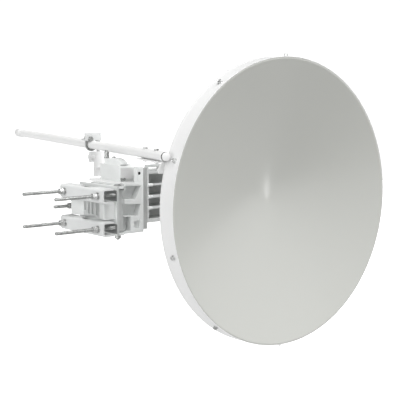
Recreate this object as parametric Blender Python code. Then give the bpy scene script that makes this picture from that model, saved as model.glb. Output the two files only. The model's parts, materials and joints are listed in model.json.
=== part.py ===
"""Dish antenna with its pole clamp, pointing mount and side strut.

Metres, +Z up. The dish looks along -Y and the pole stands on the -X side.
The origin lies on the flat bottom of the groove that seats the pole.
"""

import math

import bmesh
import bpy
from mathutils import Matrix, Vector

GAP = 0.0003
# How far cutting shapes run past the faces that they cut.
CUT = 0.004
# How far joined shapes stay inside the faces that they meet.
INSET = 0.0002

# Dish: its axis runs along Y through DISH_X, DISH_Z, and RIM_FRONT is its front edge.
DISH_X = 0.325
DISH_Z = 0.0165
DISH_RADIUS = 0.325
RIM_FRONT = -0.2885
BAND_DEPTH = 0.041
BAND_WALL = 0.0035
BAND_LIP = 0.004
BAND_BEVEL = 0.002
LIP_STEP = 0.0015
FACE_CLEARANCE = 0.0008
FACE_DEPTH = 0.062
FACE_WALL = 0.003
TIP_RADIUS = 0.006
DISH_SIDES = 80

# Reflector: a parabola behind the face, flat where the hub ring is bolted on.
BOWL_DEPTH = 0.129
BOWL_WALL = 0.003
BOWL_STEP = 0.001
BOWL_RINGS = 6
RIM_FLANGE = 0.009
HUB_FLAT = 0.105
HUB_OUTER = 0.095
HUB_INNER = 0.060
HUB_BACK = -0.0735

SCREW_COUNT = 10
SCREW_SETBACK = 0.0149
SCREW_OFFSET = math.radians(1.17)
SCREW_RADIUS = 0.0055
SCREW_HEIGHT = 0.0060

# Pole seat: a wide groove with three slots in each flank, behind it the bracket plate.
SEAT_HALF_HEIGHT = 0.018
SEAT_HALF_WIDTH = 0.0685
SEAT_DEPTH = 0.0208
SEAT_BACK = 0.008
GROOVE_FLAT = 0.004
SLOTS = ((0.0055, 0.0115, -0.020), (0.0155, 0.0215, -0.013), (0.0255, 0.0315, -0.005))
SLOT_DEPTH = 0.0045
PLATE_THICK = 0.006
PLATE_HALF_WIDTH = 0.0765
PLATE_HALF_HEIGHT = 0.055
ROD_Y = 0.0685
ROD_Z = 0.0365
ROD_RADIUS = 0.004
ROD_TIP = -0.145
ROD_SIDES = 16

# Clamp jaws: channels along Y with an arc cut in their flanges for the pole.
JAW_OUTER = -0.037
JAW_WEB = 0.0035
JAW_FLANGE_END = -0.008
JAW_HALF_HEIGHT = 0.016
JAW_HALF_LENGTH = 0.0885
JAW_ARC = 0.030
JAW_ARC_WALL = 0.0065
JAW_HOLE = 0.0048
NUT_THICK = 0.0065
NUT_FLATS = 0.013
WASHER_RADIUS = 0.0085
WASHER_THICK = 0.0016

# Azimuth hinge: a vertical bolt through two ears of the bracket plate.
AZIMUTH_X = 0.0225
AZIMUTH_Y = -0.058
EAR_THICK = 0.0055
EAR_REACH = 0.032
EAR_REAR = -0.040
EAR_CORNER = 0.006
HINGE_BOLT_RADIUS = 0.004
HINGE_NUT_FLATS = 0.017
HINGE_NUT_THICK = 0.008
HINGE_HEAD_THICK = 0.0055
BOLT_TIP = 0.003

# Azimuth screw behind the pole, threaded through a bossed tab of the bracket plate.
SCREW_ROD_Y = 0.0885
SCREW_ROD_Z = -0.001
SCREW_ROD_TIP = -0.054
SCREW_ROD_END = 0.022
SCREW_NUT_THICK = 0.0135
TAB_END = 0.100
TAB_HALF_HEIGHT = 0.012
BOSS_RADIUS = 0.0095
BOSS_FACE = -0.001

# Azimuth casting: a hinge part between the ears and a body with pockets in its front face.
CAST_LEFT = 0.0165
CAST_BODY_LEFT = 0.034
CAST_RIGHT = 0.0862
CAST_HALF_LENGTH = 0.0685
HINGE_PART_HALF = 0.0465
CAST_BOTTOM = -0.0535
CAST_TOP = 0.0545
FRONT_WALL_TOP = 0.060
FRONT_WALL = 0.012
WEDGE_START = -0.048
WEDGE_SLOPE = 0.13
POCKET_DEPTH = 0.018
SMALL_POCKET_DEPTH = 0.007
REAR_POCKET_DEPTH = 0.030
EAR_TOP = 0.095
EAR_LEFT = 0.068
EAR_HOLE_X = 0.0751
EAR_HOLE_Z = 0.0806
EAR_HOLE_RADIUS = 0.0035

# Azimuth plate, elevation block and elevation screw on top of the casting.
TOP_PLATE_LEFT = 0.042
TOP_PLATE_FRONT = -0.0385
TOP_PLATE_REAR = 0.0885
TOP_PLATE_THICK = 0.0057
BLOCK_LEFT = 0.045
BLOCK_FRONT = -0.036
BLOCK_REAR = 0.044
BLOCK_TOP = 0.098
BLOCK_ROUND = 0.008
ELEVATION_SCREW_X = 0.0535
ELEVATION_SCREW_Y = 0.030
ELEVATION_SCREW_TOP = 0.129
ELEVATION_NUT_LOW = 0.1125
ELEVATION_NUT_HIGH = 0.1255
ELEVATION_NUT_FLATS = 0.011

# Elevation plate, the pivot and the ribbed arm to the hub.
ELEVATION_Y = 0.0
ELEVATION_Z = 0.0165
SIDE_PLATE_THICK = 0.010
SIDE_PLATE_BOTTOM = -0.0475
SIDE_PLATE_TOP = 0.092
PIVOT_RADIUS = 0.006
PIVOT_DEPTH = 0.028
PIVOT_HEAD_FLATS = 0.019
PIVOT_HEAD_THICK = 0.008
ARM_END = 0.262
ARM_FRONT = -0.0685
ARM_BACK = -0.019
ARM_BOTTOM = -0.0335
ARM_TOP = 0.0853
ARM_WALL = 0.005
ARM_BACK_WALL = 0.006
ARM_POCKET_END = 0.222
ARM_POCKETS = ((-0.0250, -0.0028), (0.0025, 0.0224), (0.0283, 0.0505), (0.0543, 0.0778))
BAR_TOP = 0.0985
BAR_LOW = 0.0925
BAR_BACK = -0.058
BAR_END = 0.150
BAR_GAP = (0.1010, 0.1310)
HUB_PLATE_THICK = 0.010
HUB_SIDES = 48
PORT_RADIUS = 0.024
PORT_FLANGE = 0.036
PORT_FLANGE_THICK = 0.006
PORT_LENGTH = 0.030

# Side strut: a pipe beside the rim, turned away from the dish axis.
STRUT_X = 0.010
STRUT_Y = -0.2435
STRUT_Z = 0.1315
STRUT_YAW = math.radians(-14.0)
STRUT_START = -0.0125
STRUT_LENGTH = 1.145
STRUT_RADIUS = 0.01025
STRUT_SIDES = 24
STRUT_RECESS = 0.010
STRUT_WALL = 0.0022
STRUT_BOLTS = (0.0345, 0.0965)
STRUT_BOLT_RADIUS = 0.003
STRUT_BOLT_FLATS = 0.010
STRUT_BOLT_HEAD = 0.0025
STRUT_BOLT_TIP = 0.004
TONGUE_START = 0.0035
TONGUE_LENGTH = 0.115
TONGUE_HALF_WIDTH = 0.0125
TONGUE_THICK = 0.003
FOOT_OUTLINE = ((0.0244, 0.1196), (0.010, 0.1196), (-0.003, 0.104), (0.001, 0.096), (0.0170, 0.095))
FOOT_THICK = 0.004

# Tower clamp: an angle on the strut with a U-bolt round it, and a lug that hangs below.
# Its places are across, along and up from the middle of the pipe at CLAMP_AT.
CLAMP_AT = 0.454
ANGLE_HALF_WIDTH = 0.0205
ANGLE_HALF_LENGTH = 0.015
ANGLE_THICK = 0.004
ANGLE_TOP = 0.029
STRAP_HALF_LENGTH = 0.0077
STRAP_BOTTOM = -0.043
TAB_LEFT = -0.008
TAB_TOP = -0.0185
U_WIRE = 0.0028
U_LEG_TIP = 0.009
U_NUT_FLATS = 0.010
U_NUT_THICK = 0.005
LUG_NEAR = -0.012
LUG_FAR = -0.008
LUG_PIVOT = -0.0296
LUG_EAR = 0.0125
LUG_RIGHT = 0.0245
LUG_BOTTOM = -0.078
LUG_INSIDE = 0.0020
LUG_BOLT_RADIUS = 0.003
LUG_PIN = (0.015, -0.056)
LUG_PIN_RADIUS = 0.003
LUG_PIN_LENGTH = 0.0035

WHITE_PAINT = ((0.85, 0.85, 0.84), 0.35, 0.0)
FACE_GREY = ((0.56, 0.56, 0.54), 0.55, 0.0)
PAINTED_CAST = ((0.80, 0.81, 0.80), 0.45, 0.0)
BARE_CAST = ((0.50, 0.50, 0.49), 0.50, 0.6)
STEEL = ((0.60, 0.60, 0.58), 0.35, 0.9)
PAINTED_STEEL = ((0.82, 0.83, 0.82), 0.40, 0.0)


def clear_scene():
    for item in list(bpy.data.objects):
        bpy.data.objects.remove(item, do_unlink=True)


def material(name, finish):
    """Principled material with a colour, a roughness and a metallic value."""
    colour, roughness, metallic = finish
    made = bpy.data.materials.new(name)
    made.use_nodes = True
    shader = made.node_tree.nodes["Principled BSDF"]
    shader.inputs["Base Color"].default_value = (*colour, 1.0)
    shader.inputs["Roughness"].default_value = roughness
    shader.inputs["Metallic"].default_value = metallic
    return made


def box(x0, x1, y0, y1, z0, z1):
    shape = bmesh.new()
    bmesh.ops.create_cube(shape, size=1.0)
    size = Matrix.Diagonal((x1 - x0, y1 - y0, z1 - z0, 1.0))
    middle = Matrix.Translation(((x0 + x1) / 2, (y0 + y1) / 2, (z0 + z1) / 2))
    bmesh.ops.transform(shape, matrix=middle @ size, verts=shape.verts)
    return shape


def prism(outline, axis, low, high):
    """Outline extruded along X, Y or Z; its points are given in the other two axes."""
    def corner(point, level):
        first, second = point
        if axis == "X":
            return (level, first, second)
        if axis == "Y":
            return (first, level, second)
        return (first, second, level)

    shape = bmesh.new()
    near = [shape.verts.new(corner(point, low)) for point in outline]
    far = [shape.verts.new(corner(point, high)) for point in outline]
    shape.faces.new(near)
    shape.faces.new(list(reversed(far)))
    for i in range(len(outline)):
        j = (i + 1) % len(outline)
        shape.faces.new((near[i], far[i], far[j], near[j]))
    bmesh.ops.recalc_face_normals(shape, faces=shape.faces)
    return shape


def ring_points(radius, sides, start=0.0):
    points = []
    for i in range(sides):
        angle = start + 2 * math.pi * i / sides
        points.append((radius * math.cos(angle), radius * math.sin(angle)))
    return points


def rod(start, end, radius, sides=ROD_SIDES):
    """Round bar between two points."""
    start = Vector(start)
    span = Vector(end) - start
    shape = prism(ring_points(radius, sides), "Z", 0.0, span.length)
    turn = span.to_track_quat("Z", "Y").to_matrix().to_4x4()
    bmesh.ops.transform(shape, matrix=Matrix.Translation(start) @ turn, verts=shape.verts)
    return shape


def hexagon(start, end, flats):
    """Hexagonal bar between two points, flats apart across its flats."""
    start = Vector(start)
    span = Vector(end) - start
    shape = prism(ring_points(flats / math.sqrt(3), 6), "Z", 0.0, span.length)
    turn = span.to_track_quat("Z", "Y").to_matrix().to_4x4()
    bmesh.ops.transform(shape, matrix=Matrix.Translation(start) @ turn, verts=shape.verts)
    return shape


def turned(profile, closed, sides=DISH_SIDES):
    """Profile of (radius, y) points turned about the dish axis.

    An open profile starts and ends on the axis; a closed one makes a ring.
    """
    shape = bmesh.new()
    rings = []
    for radius, y in profile:
        if radius == 0:
            rings.append([shape.verts.new((DISH_X, y, DISH_Z))])
            continue
        ring = []
        for sine, cosine in ((q[1], q[0]) for q in ring_points(radius, sides)):
            ring.append(shape.verts.new((DISH_X + sine, y, DISH_Z + cosine)))
        rings.append(ring)
    following = rings[1:] + ([rings[0]] if closed else [])
    for near, far in zip(rings, following):
        for i in range(sides):
            j = (i + 1) % sides
            if len(near) == 1:
                shape.faces.new((near[0], far[j], far[i]))
            elif len(far) == 1:
                shape.faces.new((near[i], near[j], far[0]))
            else:
                shape.faces.new((near[i], near[j], far[j], far[i]))
    bmesh.ops.recalc_face_normals(shape, faces=shape.faces)
    return shape


def bent_rod(route, radius, sides):
    """Round bar along a route of points that lies in one plane."""
    shape = bmesh.new()
    rings = []
    normal = (route[1] - route[0]).cross(route[-1] - route[0]).normalized()
    for i, point in enumerate(route):
        ahead = route[min(i + 1, len(route) - 1)]
        behind = route[max(i - 1, 0)]
        side = (ahead - behind).normalized().cross(normal)
        ring = []
        for a, b in ring_points(radius, sides):
            ring.append(shape.verts.new(point + side * a + normal * b))
        rings.append(ring)
    for near, far in zip(rings, rings[1:]):
        for i in range(sides):
            j = (i + 1) % sides
            shape.faces.new((near[i], near[j], far[j], far[i]))
    shape.faces.new(rings[0])
    shape.faces.new(list(reversed(rings[-1])))
    bmesh.ops.recalc_face_normals(shape, faces=shape.faces)
    return shape


def loose_object(name, shape):
    mesh = bpy.data.meshes.new(name)
    shape.to_mesh(mesh)
    shape.free()
    item = bpy.data.objects.new(name, mesh)
    bpy.context.scene.collection.objects.link(item)
    return item


def combined(base, joined, removed):
    """Mesh of the base with shapes joined to it and then others cut from it."""
    body = loose_object("body", base)
    helpers = []
    for operation, shapes in (("UNION", joined), ("DIFFERENCE", removed)):
        for shape in shapes:
            helper = loose_object("helper", shape)
            helper.hide_render = True
            helper.display_type = "WIRE"
            step = body.modifiers.new(operation.lower(), "BOOLEAN")
            step.operation = operation
            step.object = helper
            helpers.append(helper)
    bpy.context.view_layer.update()
    seen = body.evaluated_get(bpy.context.evaluated_depsgraph_get())
    mesh = bpy.data.meshes.new_from_object(seen)
    for item in [body] + helpers:
        bpy.data.objects.remove(item, do_unlink=True)
    return mesh


def piece(name, finish, parent, base, joined=(), removed=(), smooth=None):
    """Named solid, modelled in world space and hung on its parent's axis."""
    mesh = combined(base, joined, removed)
    mesh.name = name
    mesh.materials.clear()
    mesh.materials.append(material(name, finish))
    if smooth is not None:
        mesh.shade_smooth()
        mesh.set_sharp_from_angle(angle=math.radians(smooth))
    item = bpy.data.objects.new(name, mesh)
    bpy.context.scene.collection.objects.link(item)
    if parent is not None:
        mesh.transform(parent.matrix_world.inverted())
        item.parent = parent
    return item


def axis_empty(name, place, parent=None, turn=0.0):
    item = bpy.data.objects.new(name, None)
    item.empty_display_size = 0.03
    item.rotation_euler = (0.0, 0.0, turn)
    bpy.context.scene.collection.objects.link(item)
    item.location = place
    if parent is not None:
        item.location = Vector(place) - parent.matrix_world.translation
        item.parent = parent
    bpy.context.view_layer.update()
    return item


def seat_outline():
    """Pole seat from above: a wide groove with a flat bottom at x = 0."""
    side = [(-SEAT_DEPTH, SEAT_HALF_WIDTH), (0.0, GROOVE_FLAT)]
    outline = [(SEAT_BACK, -SEAT_HALF_WIDTH), (SEAT_BACK, SEAT_HALF_WIDTH)]
    outline += side
    outline += [(x, -y) for x, y in reversed(side)]
    return outline


def seat_slots():
    """Slots in both flanks, open above, each with a lower floor towards the middle."""
    slope = SEAT_DEPTH / (SEAT_HALF_WIDTH - GROOVE_FLAT)
    slots = []
    for near, far, floor in SLOTS:
        deep = SLOT_DEPTH - slope * (near - GROOVE_FLAT)
        low = max(floor, -SEAT_HALF_HEIGHT + SLOT_DEPTH)
        for first, second in ((near, far), (-far, -near)):
            slots.append(box(-SEAT_DEPTH, deep, first, second, low, SEAT_HALF_HEIGHT + CUT))
    return slots


def pole_bracket():
    piece("pole_seat", PAINTED_CAST, None,
          prism(seat_outline(), "Z", -SEAT_HALF_HEIGHT, SEAT_HALF_HEIGHT), (), seat_slots())

    face = SEAT_BACK + GAP
    back = face + PLATE_THICK
    front = -PLATE_HALF_WIDTH
    inside = face + PLATE_THICK / 2
    flush = front + INSET
    ear_outline = [(inside, flush), (EAR_REACH - EAR_CORNER, flush), (EAR_REACH, flush + EAR_CORNER),
                   (EAR_REACH, EAR_REAR - EAR_CORNER), (EAR_REACH - EAR_CORNER, EAR_REAR), (inside, EAR_REAR)]
    ears = []
    for side in (-1, 1):
        low, high = sorted((side * (PLATE_HALF_HEIGHT - EAR_THICK), side * (PLATE_HALF_HEIGHT - INSET)))
        ears.append(prism(ear_outline, "Z", low, high))
    tab = box(face + INSET, back - INSET, PLATE_HALF_WIDTH - CUT, TAB_END,
              SCREW_ROD_Z - TAB_HALF_HEIGHT, SCREW_ROD_Z + TAB_HALF_HEIGHT)
    boss = rod((BOSS_FACE, SCREW_ROD_Y, SCREW_ROD_Z), (face + PLATE_THICK / 2, SCREW_ROD_Y, SCREW_ROD_Z),
               BOSS_RADIUS, 24)
    holes = []
    for y in (-ROD_Y, ROD_Y):
        for z in (-ROD_Z, ROD_Z):
            holes.append(rod((face - CUT, y, z), (back + CUT, y, z), ROD_RADIUS + GAP))
    holes.append(rod((BOSS_FACE - CUT, SCREW_ROD_Y, SCREW_ROD_Z), (back + CUT, SCREW_ROD_Y, SCREW_ROD_Z),
                     ROD_RADIUS + GAP))
    reach = PLATE_HALF_HEIGHT + CUT
    holes.append(rod((AZIMUTH_X, AZIMUTH_Y, -reach), (AZIMUTH_X, AZIMUTH_Y, reach),
                     HINGE_BOLT_RADIUS + GAP))
    piece("bracket_plate", PAINTED_CAST, None,
          box(face, back, front, PLATE_HALF_WIDTH, -PLATE_HALF_HEIGHT, PLATE_HALF_HEIGHT),
          ears + [tab, boss], holes)

    for level, z in (("upper", ROD_Z), ("lower", -ROD_Z)):
        for place, y in (("front", -ROD_Y), ("rear", ROD_Y)):
            piece("clamp_rod_" + level + "_" + place, STEEL, None,
                  rod((ROD_TIP, y, z), (back, y, z), ROD_RADIUS), smooth=40)

    piece("azimuth_screw", STEEL, None,
          rod((SCREW_ROD_TIP, SCREW_ROD_Y, SCREW_ROD_Z), (SCREW_ROD_END, SCREW_ROD_Y, SCREW_ROD_Z),
              ROD_RADIUS), smooth=40)
    nut("azimuth_screw_nut", None, BOSS_FACE - GAP, SCREW_ROD_Y, SCREW_ROD_Z, SCREW_NUT_THICK)

    outer = PLATE_HALF_HEIGHT + GAP
    tip = outer + HINGE_NUT_THICK + BOLT_TIP
    piece("hinge_bolt", STEEL, None,
          rod((AZIMUTH_X, AZIMUTH_Y, -tip), (AZIMUTH_X, AZIMUTH_Y, outer + BOLT_TIP), HINGE_BOLT_RADIUS),
          [hexagon((AZIMUTH_X, AZIMUTH_Y, outer), (AZIMUTH_X, AZIMUTH_Y, outer + HINGE_HEAD_THICK),
                   NUT_FLATS),
           hexagon((AZIMUTH_X, AZIMUTH_Y, -outer - HINGE_NUT_THICK), (AZIMUTH_X, AZIMUTH_Y, -outer),
                   HINGE_NUT_FLATS)])


def nut(name, parent, seat, y, z, thick=NUT_THICK):
    """Washer and nut on a rod along X, seated on the plane x = seat from its -X side."""
    inner = seat - WASHER_THICK
    outer = inner - thick
    piece(name, STEEL, parent,
          rod((inner, y, z), (seat, y, z), WASHER_RADIUS),
          [hexagon((outer, y, z), (inner + GAP, y, z), NUT_FLATS)],
          [rod((outer - CUT, y, z), (seat + CUT, y, z), ROD_RADIUS + GAP)])


def clamp_jaw(level, middle):
    parent = axis_empty(level + "_jaw_slide", (0.0, 0.0, middle))
    top = middle + JAW_HALF_HEIGHT
    bottom = middle - JAW_HALF_HEIGHT
    web = JAW_OUTER + JAW_WEB
    outline = [(JAW_OUTER, bottom), (JAW_FLANGE_END, bottom), (JAW_FLANGE_END, bottom + JAW_WEB),
               (web, bottom + JAW_WEB), (web, top - JAW_WEB), (JAW_FLANGE_END, top - JAW_WEB),
               (JAW_FLANGE_END, top), (JAW_OUTER, top)]
    arc_x = JAW_OUTER + JAW_ARC_WALL + JAW_ARC
    removed = [rod((arc_x, 0.0, bottom - CUT), (arc_x, 0.0, top + CUT), JAW_ARC, 32)]
    for y in (-ROD_Y, ROD_Y):
        removed.append(rod((JAW_OUTER - CUT, y, middle), (web + CUT, y, middle), JAW_HOLE))
    piece(level + "_jaw", PAINTED_STEEL, parent,
          prism(outline, "Y", -JAW_HALF_LENGTH, JAW_HALF_LENGTH), (), removed)
    nut(level + "_jaw_nut_front", parent, JAW_OUTER - GAP, -ROD_Y, middle)
    nut(level + "_jaw_nut_rear", parent, JAW_OUTER - GAP, ROD_Y, middle)


def casting_pockets():
    """Three deep pockets and a small shallow one of the front face and two of the rear, in X and Z."""
    front = (
        ((0.0295, 0.025), (0.0628, 0.0225), (0.0796, 0.052), (0.037, 0.055), (0.037, 0.044),
         (0.0295, 0.0435)),
        ((0.0295, -0.0119), (0.0707, -0.0153), (0.0784, 0.0108), (0.0295, 0.0144)),
        ((0.0295, -0.048), (0.0506, -0.048), (0.0506, -0.0152), (0.0295, -0.0152)),
    )
    small = ((0.0595, -0.0425), (0.077, -0.0425), (0.077, -0.0264), (0.0595, -0.0264))
    rear = (
        ((0.045, -0.043), (0.078, -0.043), (0.078, -0.004), (0.045, -0.004)),
        ((0.045, 0.006), (0.078, 0.006), (0.078, 0.044), (0.045, 0.044)),
    )
    return front, small, rear


def azimuth_head(parent):
    front = -CAST_HALF_LENGTH
    rear = CAST_HALF_LENGTH
    wall_back = front + FRONT_WALL
    side = [(front, CAST_BOTTOM), (rear, CAST_BOTTOM), (rear, CAST_TOP), (wall_back, CAST_TOP),
            (wall_back, FRONT_WALL_TOP), (front, FRONT_WALL_TOP)]
    body = prism(side, "X", CAST_BODY_LEFT, CAST_RIGHT)
    ear = box(EAR_LEFT, CAST_RIGHT - INSET, front + INSET, wall_back - INSET, CAST_TOP, EAR_TOP)
    reach = HINGE_PART_HALF + CUT
    wedge = prism([(CAST_LEFT - CUT, WEDGE_START), (CAST_LEFT, WEDGE_START),
                   (CAST_LEFT + WEDGE_SLOPE * (rear + CUT - WEDGE_START), rear + CUT),
                   (CAST_LEFT - CUT, rear + CUT)],
                  "Z", -reach, reach)
    removed = [wedge]
    front_pockets, small_pocket, rear_pockets = casting_pockets()
    for outline in front_pockets:
        removed.append(prism(outline, "Y", front - CUT, front + POCKET_DEPTH))
    removed.append(prism(small_pocket, "Y", front - CUT, front + SMALL_POCKET_DEPTH))
    for outline in rear_pockets:
        removed.append(prism(outline, "Y", rear - REAR_POCKET_DEPTH, rear + CUT))
    removed.append(rod((AZIMUTH_X, AZIMUTH_Y, -reach), (AZIMUTH_X, AZIMUTH_Y, reach),
                       HINGE_BOLT_RADIUS + GAP))
    removed.append(rod((EAR_HOLE_X, front - CUT, EAR_HOLE_Z), (EAR_HOLE_X, wall_back + CUT, EAR_HOLE_Z),
                       EAR_HOLE_RADIUS))
    removed.append(rod((CAST_RIGHT - PIVOT_DEPTH - CUT / 2, ELEVATION_Y, ELEVATION_Z),
                       (CAST_RIGHT + CUT, ELEVATION_Y, ELEVATION_Z), PIVOT_RADIUS + GAP))
    piece("azimuth_casting", PAINTED_CAST, parent,
          body,
          [box(CAST_LEFT, CAST_BODY_LEFT + CUT / 2, front + INSET, rear - INSET,
               -HINGE_PART_HALF, HINGE_PART_HALF), ear], removed)

    plate_low = CAST_TOP + GAP
    plate_high = plate_low + TOP_PLATE_THICK
    piece("azimuth_plate", PAINTED_STEEL, parent,
          box(TOP_PLATE_LEFT, CAST_RIGHT, TOP_PLATE_FRONT, TOP_PLATE_REAR, plate_low, plate_high))
    block_low = plate_high + GAP
    side = [(BLOCK_REAR, block_low), (BLOCK_REAR, BLOCK_TOP)]
    for i in range(5):
        angle = math.radians(90.0 + 22.5 * i)
        side.append((BLOCK_FRONT + BLOCK_ROUND * (1 + math.cos(angle)),
                     BLOCK_TOP - BLOCK_ROUND * (1 - math.sin(angle))))
    side.append((BLOCK_FRONT, block_low))
    place = (ELEVATION_SCREW_X, ELEVATION_SCREW_Y)
    piece("elevation_block", PAINTED_CAST, parent,
          prism(side, "X", BLOCK_LEFT, CAST_RIGHT), (),
          [rod((*place, block_low - CUT), (*place, BLOCK_TOP + CUT), HINGE_BOLT_RADIUS + GAP)])
    piece("elevation_screw", STEEL, parent,
          rod((*place, block_low), (*place, ELEVATION_SCREW_TOP), HINGE_BOLT_RADIUS),
          [hexagon((*place, ELEVATION_NUT_LOW), (*place, ELEVATION_NUT_HIGH), ELEVATION_NUT_FLATS)],
          smooth=40)


def elevation_head(parent):
    left = CAST_RIGHT + GAP
    right = left + SIDE_PLATE_THICK
    bore = rod((left - CUT, ELEVATION_Y, ELEVATION_Z), (right + CUT, ELEVATION_Y, ELEVATION_Z),
               PIVOT_RADIUS + GAP)
    piece("elevation_plate", BARE_CAST, parent,
          box(left, right, -CAST_HALF_LENGTH, CAST_HALF_LENGTH, SIDE_PLATE_BOTTOM, SIDE_PLATE_TOP),
          (), [bore])
    head = right + GAP
    piece("elevation_bolt", STEEL, parent,
          rod((CAST_RIGHT - PIVOT_DEPTH, ELEVATION_Y, ELEVATION_Z),
              (head + PIVOT_HEAD_THICK / 2, ELEVATION_Y, ELEVATION_Z), PIVOT_RADIUS),
          [hexagon((head, ELEVATION_Y, ELEVATION_Z), (head + PIVOT_HEAD_THICK, ELEVATION_Y, ELEVATION_Z),
                   PIVOT_HEAD_FLATS)])

    root = right + GAP
    removed = []
    for low, high in ARM_POCKETS:
        removed.append(box(root + ARM_WALL, ARM_POCKET_END, ARM_FRONT - CUT, ARM_BACK - ARM_BACK_WALL,
                           low, high))
    gap_start, gap_end = BAR_GAP
    removed.append(box(gap_start, gap_end, ARM_FRONT - CUT, BAR_BACK + CUT, ARM_TOP, BAR_LOW))
    bar = box(root + INSET, BAR_END, ARM_FRONT + INSET, BAR_BACK, ARM_TOP - CUT / 2, BAR_TOP)
    plate_front = HUB_BACK + GAP
    hub_plate = turned([(0, plate_front), (HUB_OUTER, plate_front),
                        (HUB_OUTER, plate_front + HUB_PLATE_THICK), (0, plate_front + HUB_PLATE_THICK)],
                       False, HUB_SIDES)
    piece("ribbed_arm", PAINTED_CAST, parent,
          box(root, ARM_END, ARM_FRONT, ARM_BACK, ARM_BOTTOM, ARM_TOP), [hub_plate, bar], removed)

    port_front = plate_front + HUB_PLATE_THICK + GAP
    port_back = port_front + PORT_LENGTH
    flange_front = port_back - PORT_FLANGE_THICK
    piece("feed_port", STEEL, parent,
          turned([(0, port_front), (PORT_RADIUS, port_front), (PORT_RADIUS, flange_front),
                  (PORT_FLANGE, flange_front), (PORT_FLANGE, port_back), (0, port_back)], False, 32),
          smooth=40)


def dish(parent):
    band_back = RIM_FRONT + BAND_DEPTH
    inner = DISH_RADIUS - BAND_WALL
    piece("shroud_ring", WHITE_PAINT, parent,
          turned([(DISH_RADIUS - BAND_BEVEL, RIM_FRONT), (DISH_RADIUS, RIM_FRONT + BAND_BEVEL),
                  (DISH_RADIUS, band_back), (inner, band_back), (inner, RIM_FRONT + BAND_LIP),
                  (inner - LIP_STEP, RIM_FRONT + LIP_STEP), (inner, RIM_FRONT)], True), smooth=30)

    face_edge = inner - FACE_CLEARANCE
    edge_y = RIM_FRONT + BAND_LIP + GAP
    tip_y = RIM_FRONT + FACE_DEPTH
    slope = (tip_y - edge_y) / face_edge
    tip_in = tip_y - slope * TIP_RADIUS
    tip_half = TIP_RADIUS / 2
    piece("radome", FACE_GREY, parent,
          turned([(0, tip_in + slope * tip_half), (tip_half, tip_in + slope * tip_half * 2 / 3),
                  (TIP_RADIUS, tip_in), (face_edge, edge_y), (face_edge, edge_y + FACE_WALL),
                  (TIP_RADIUS, tip_in + FACE_WALL), (0, tip_y + FACE_WALL)], False), smooth=30)

    flange_y = band_back + GAP
    vertex_y = flange_y + BOWL_DEPTH
    bowl_edge = DISH_RADIUS - RIM_FLANGE

    def bowl(radius):
        return vertex_y - BOWL_DEPTH * (radius / bowl_edge) ** 2

    radii = [HUB_FLAT + (bowl_edge - HUB_FLAT) * i / BOWL_RINGS for i in range(BOWL_RINGS + 1)]
    profile = [(0, bowl(HUB_FLAT))]
    profile += [(radius, bowl(radius)) for radius in radii]
    profile += [(DISH_RADIUS, flange_y), (DISH_RADIUS, flange_y + BOWL_WALL)]
    profile += [(radius + BOWL_STEP, bowl(radius) + BOWL_WALL) for radius in reversed(radii)]
    profile.append((0, bowl(HUB_FLAT) + BOWL_WALL))
    piece("reflector", WHITE_PAINT, parent, turned(profile, False), smooth=30)

    hub_front = bowl(HUB_FLAT) + BOWL_WALL + GAP
    piece("hub_ring", PAINTED_CAST, parent,
          turned([(HUB_OUTER, hub_front), (HUB_OUTER, HUB_BACK), (HUB_INNER, HUB_BACK),
                  (HUB_INNER, hub_front)], True, HUB_SIDES), smooth=30)

    for k in range(SCREW_COUNT):
        angle = SCREW_OFFSET + 2 * math.pi * k / SCREW_COUNT
        outward = Vector((math.sin(angle), 0.0, math.cos(angle)))
        centre = Vector((DISH_X, RIM_FRONT + SCREW_SETBACK, DISH_Z))
        foot = centre + outward * (DISH_RADIUS + GAP)
        piece("rim_screw_%02d" % (k + 1), STEEL, parent,
              rod(foot, foot + outward * SCREW_HEIGHT, SCREW_RADIUS, 12), smooth=40)


def along_strut(shape):
    """Moves a shape that was made along +Y from the origin onto the strut."""
    place = Matrix.Translation((STRUT_X, STRUT_Y, STRUT_Z)) @ Matrix.Rotation(STRUT_YAW, 4, "Z")
    bmesh.ops.transform(shape, matrix=place, verts=shape.verts)
    return shape


def strut(parent):
    recesses = []
    inner = STRUT_RADIUS - STRUT_WALL
    for start, end in ((STRUT_START - CUT, STRUT_START + STRUT_RECESS),
                       (STRUT_LENGTH - STRUT_RECESS, STRUT_LENGTH + CUT)):
        recesses.append(along_strut(rod((0, start, 0), (0, end, 0), inner, STRUT_SIDES)))
    tongue_top = -STRUT_RADIUS - GAP
    tongue_low = tongue_top - TONGUE_THICK
    head = STRUT_RADIUS + GAP

    def bolt_holes():
        return [along_strut(rod((0, at, tongue_low - CUT), (0, at, head + CUT), STRUT_BOLT_RADIUS + GAP))
                for at in STRUT_BOLTS]

    piece("strut_tube", PAINTED_STEEL, parent,
          along_strut(rod((0, STRUT_START, 0), (0, STRUT_LENGTH, 0), STRUT_RADIUS, STRUT_SIDES)),
          (), recesses + bolt_holes(), smooth=40)

    foot_front = RIM_FRONT + BAND_DEPTH + GAP + BOWL_WALL + GAP
    piece("strut_end_bracket", PAINTED_STEEL, parent,
          along_strut(box(-TONGUE_HALF_WIDTH, TONGUE_HALF_WIDTH, TONGUE_START, TONGUE_LENGTH,
                          tongue_low, tongue_top)),
          [prism(FOOT_OUTLINE, "Y", foot_front, foot_front + FOOT_THICK)], bolt_holes())

    for place, at in zip(("front", "rear"), STRUT_BOLTS):
        piece("strut_bolt_" + place, STEEL, parent,
              along_strut(rod((0, at, tongue_low - STRUT_BOLT_TIP), (0, at, head + STRUT_BOLT_HEAD / 2),
                              STRUT_BOLT_RADIUS)),
              [along_strut(hexagon((0, at, head), (0, at, head + STRUT_BOLT_HEAD), STRUT_BOLT_FLATS))])


def at_clamp(shape):
    """Moves a shape made about the origin to the tower clamp's place on the strut."""
    bmesh.ops.translate(shape, vec=(0.0, CLAMP_AT, 0.0), verts=shape.verts)
    return along_strut(shape)


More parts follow.
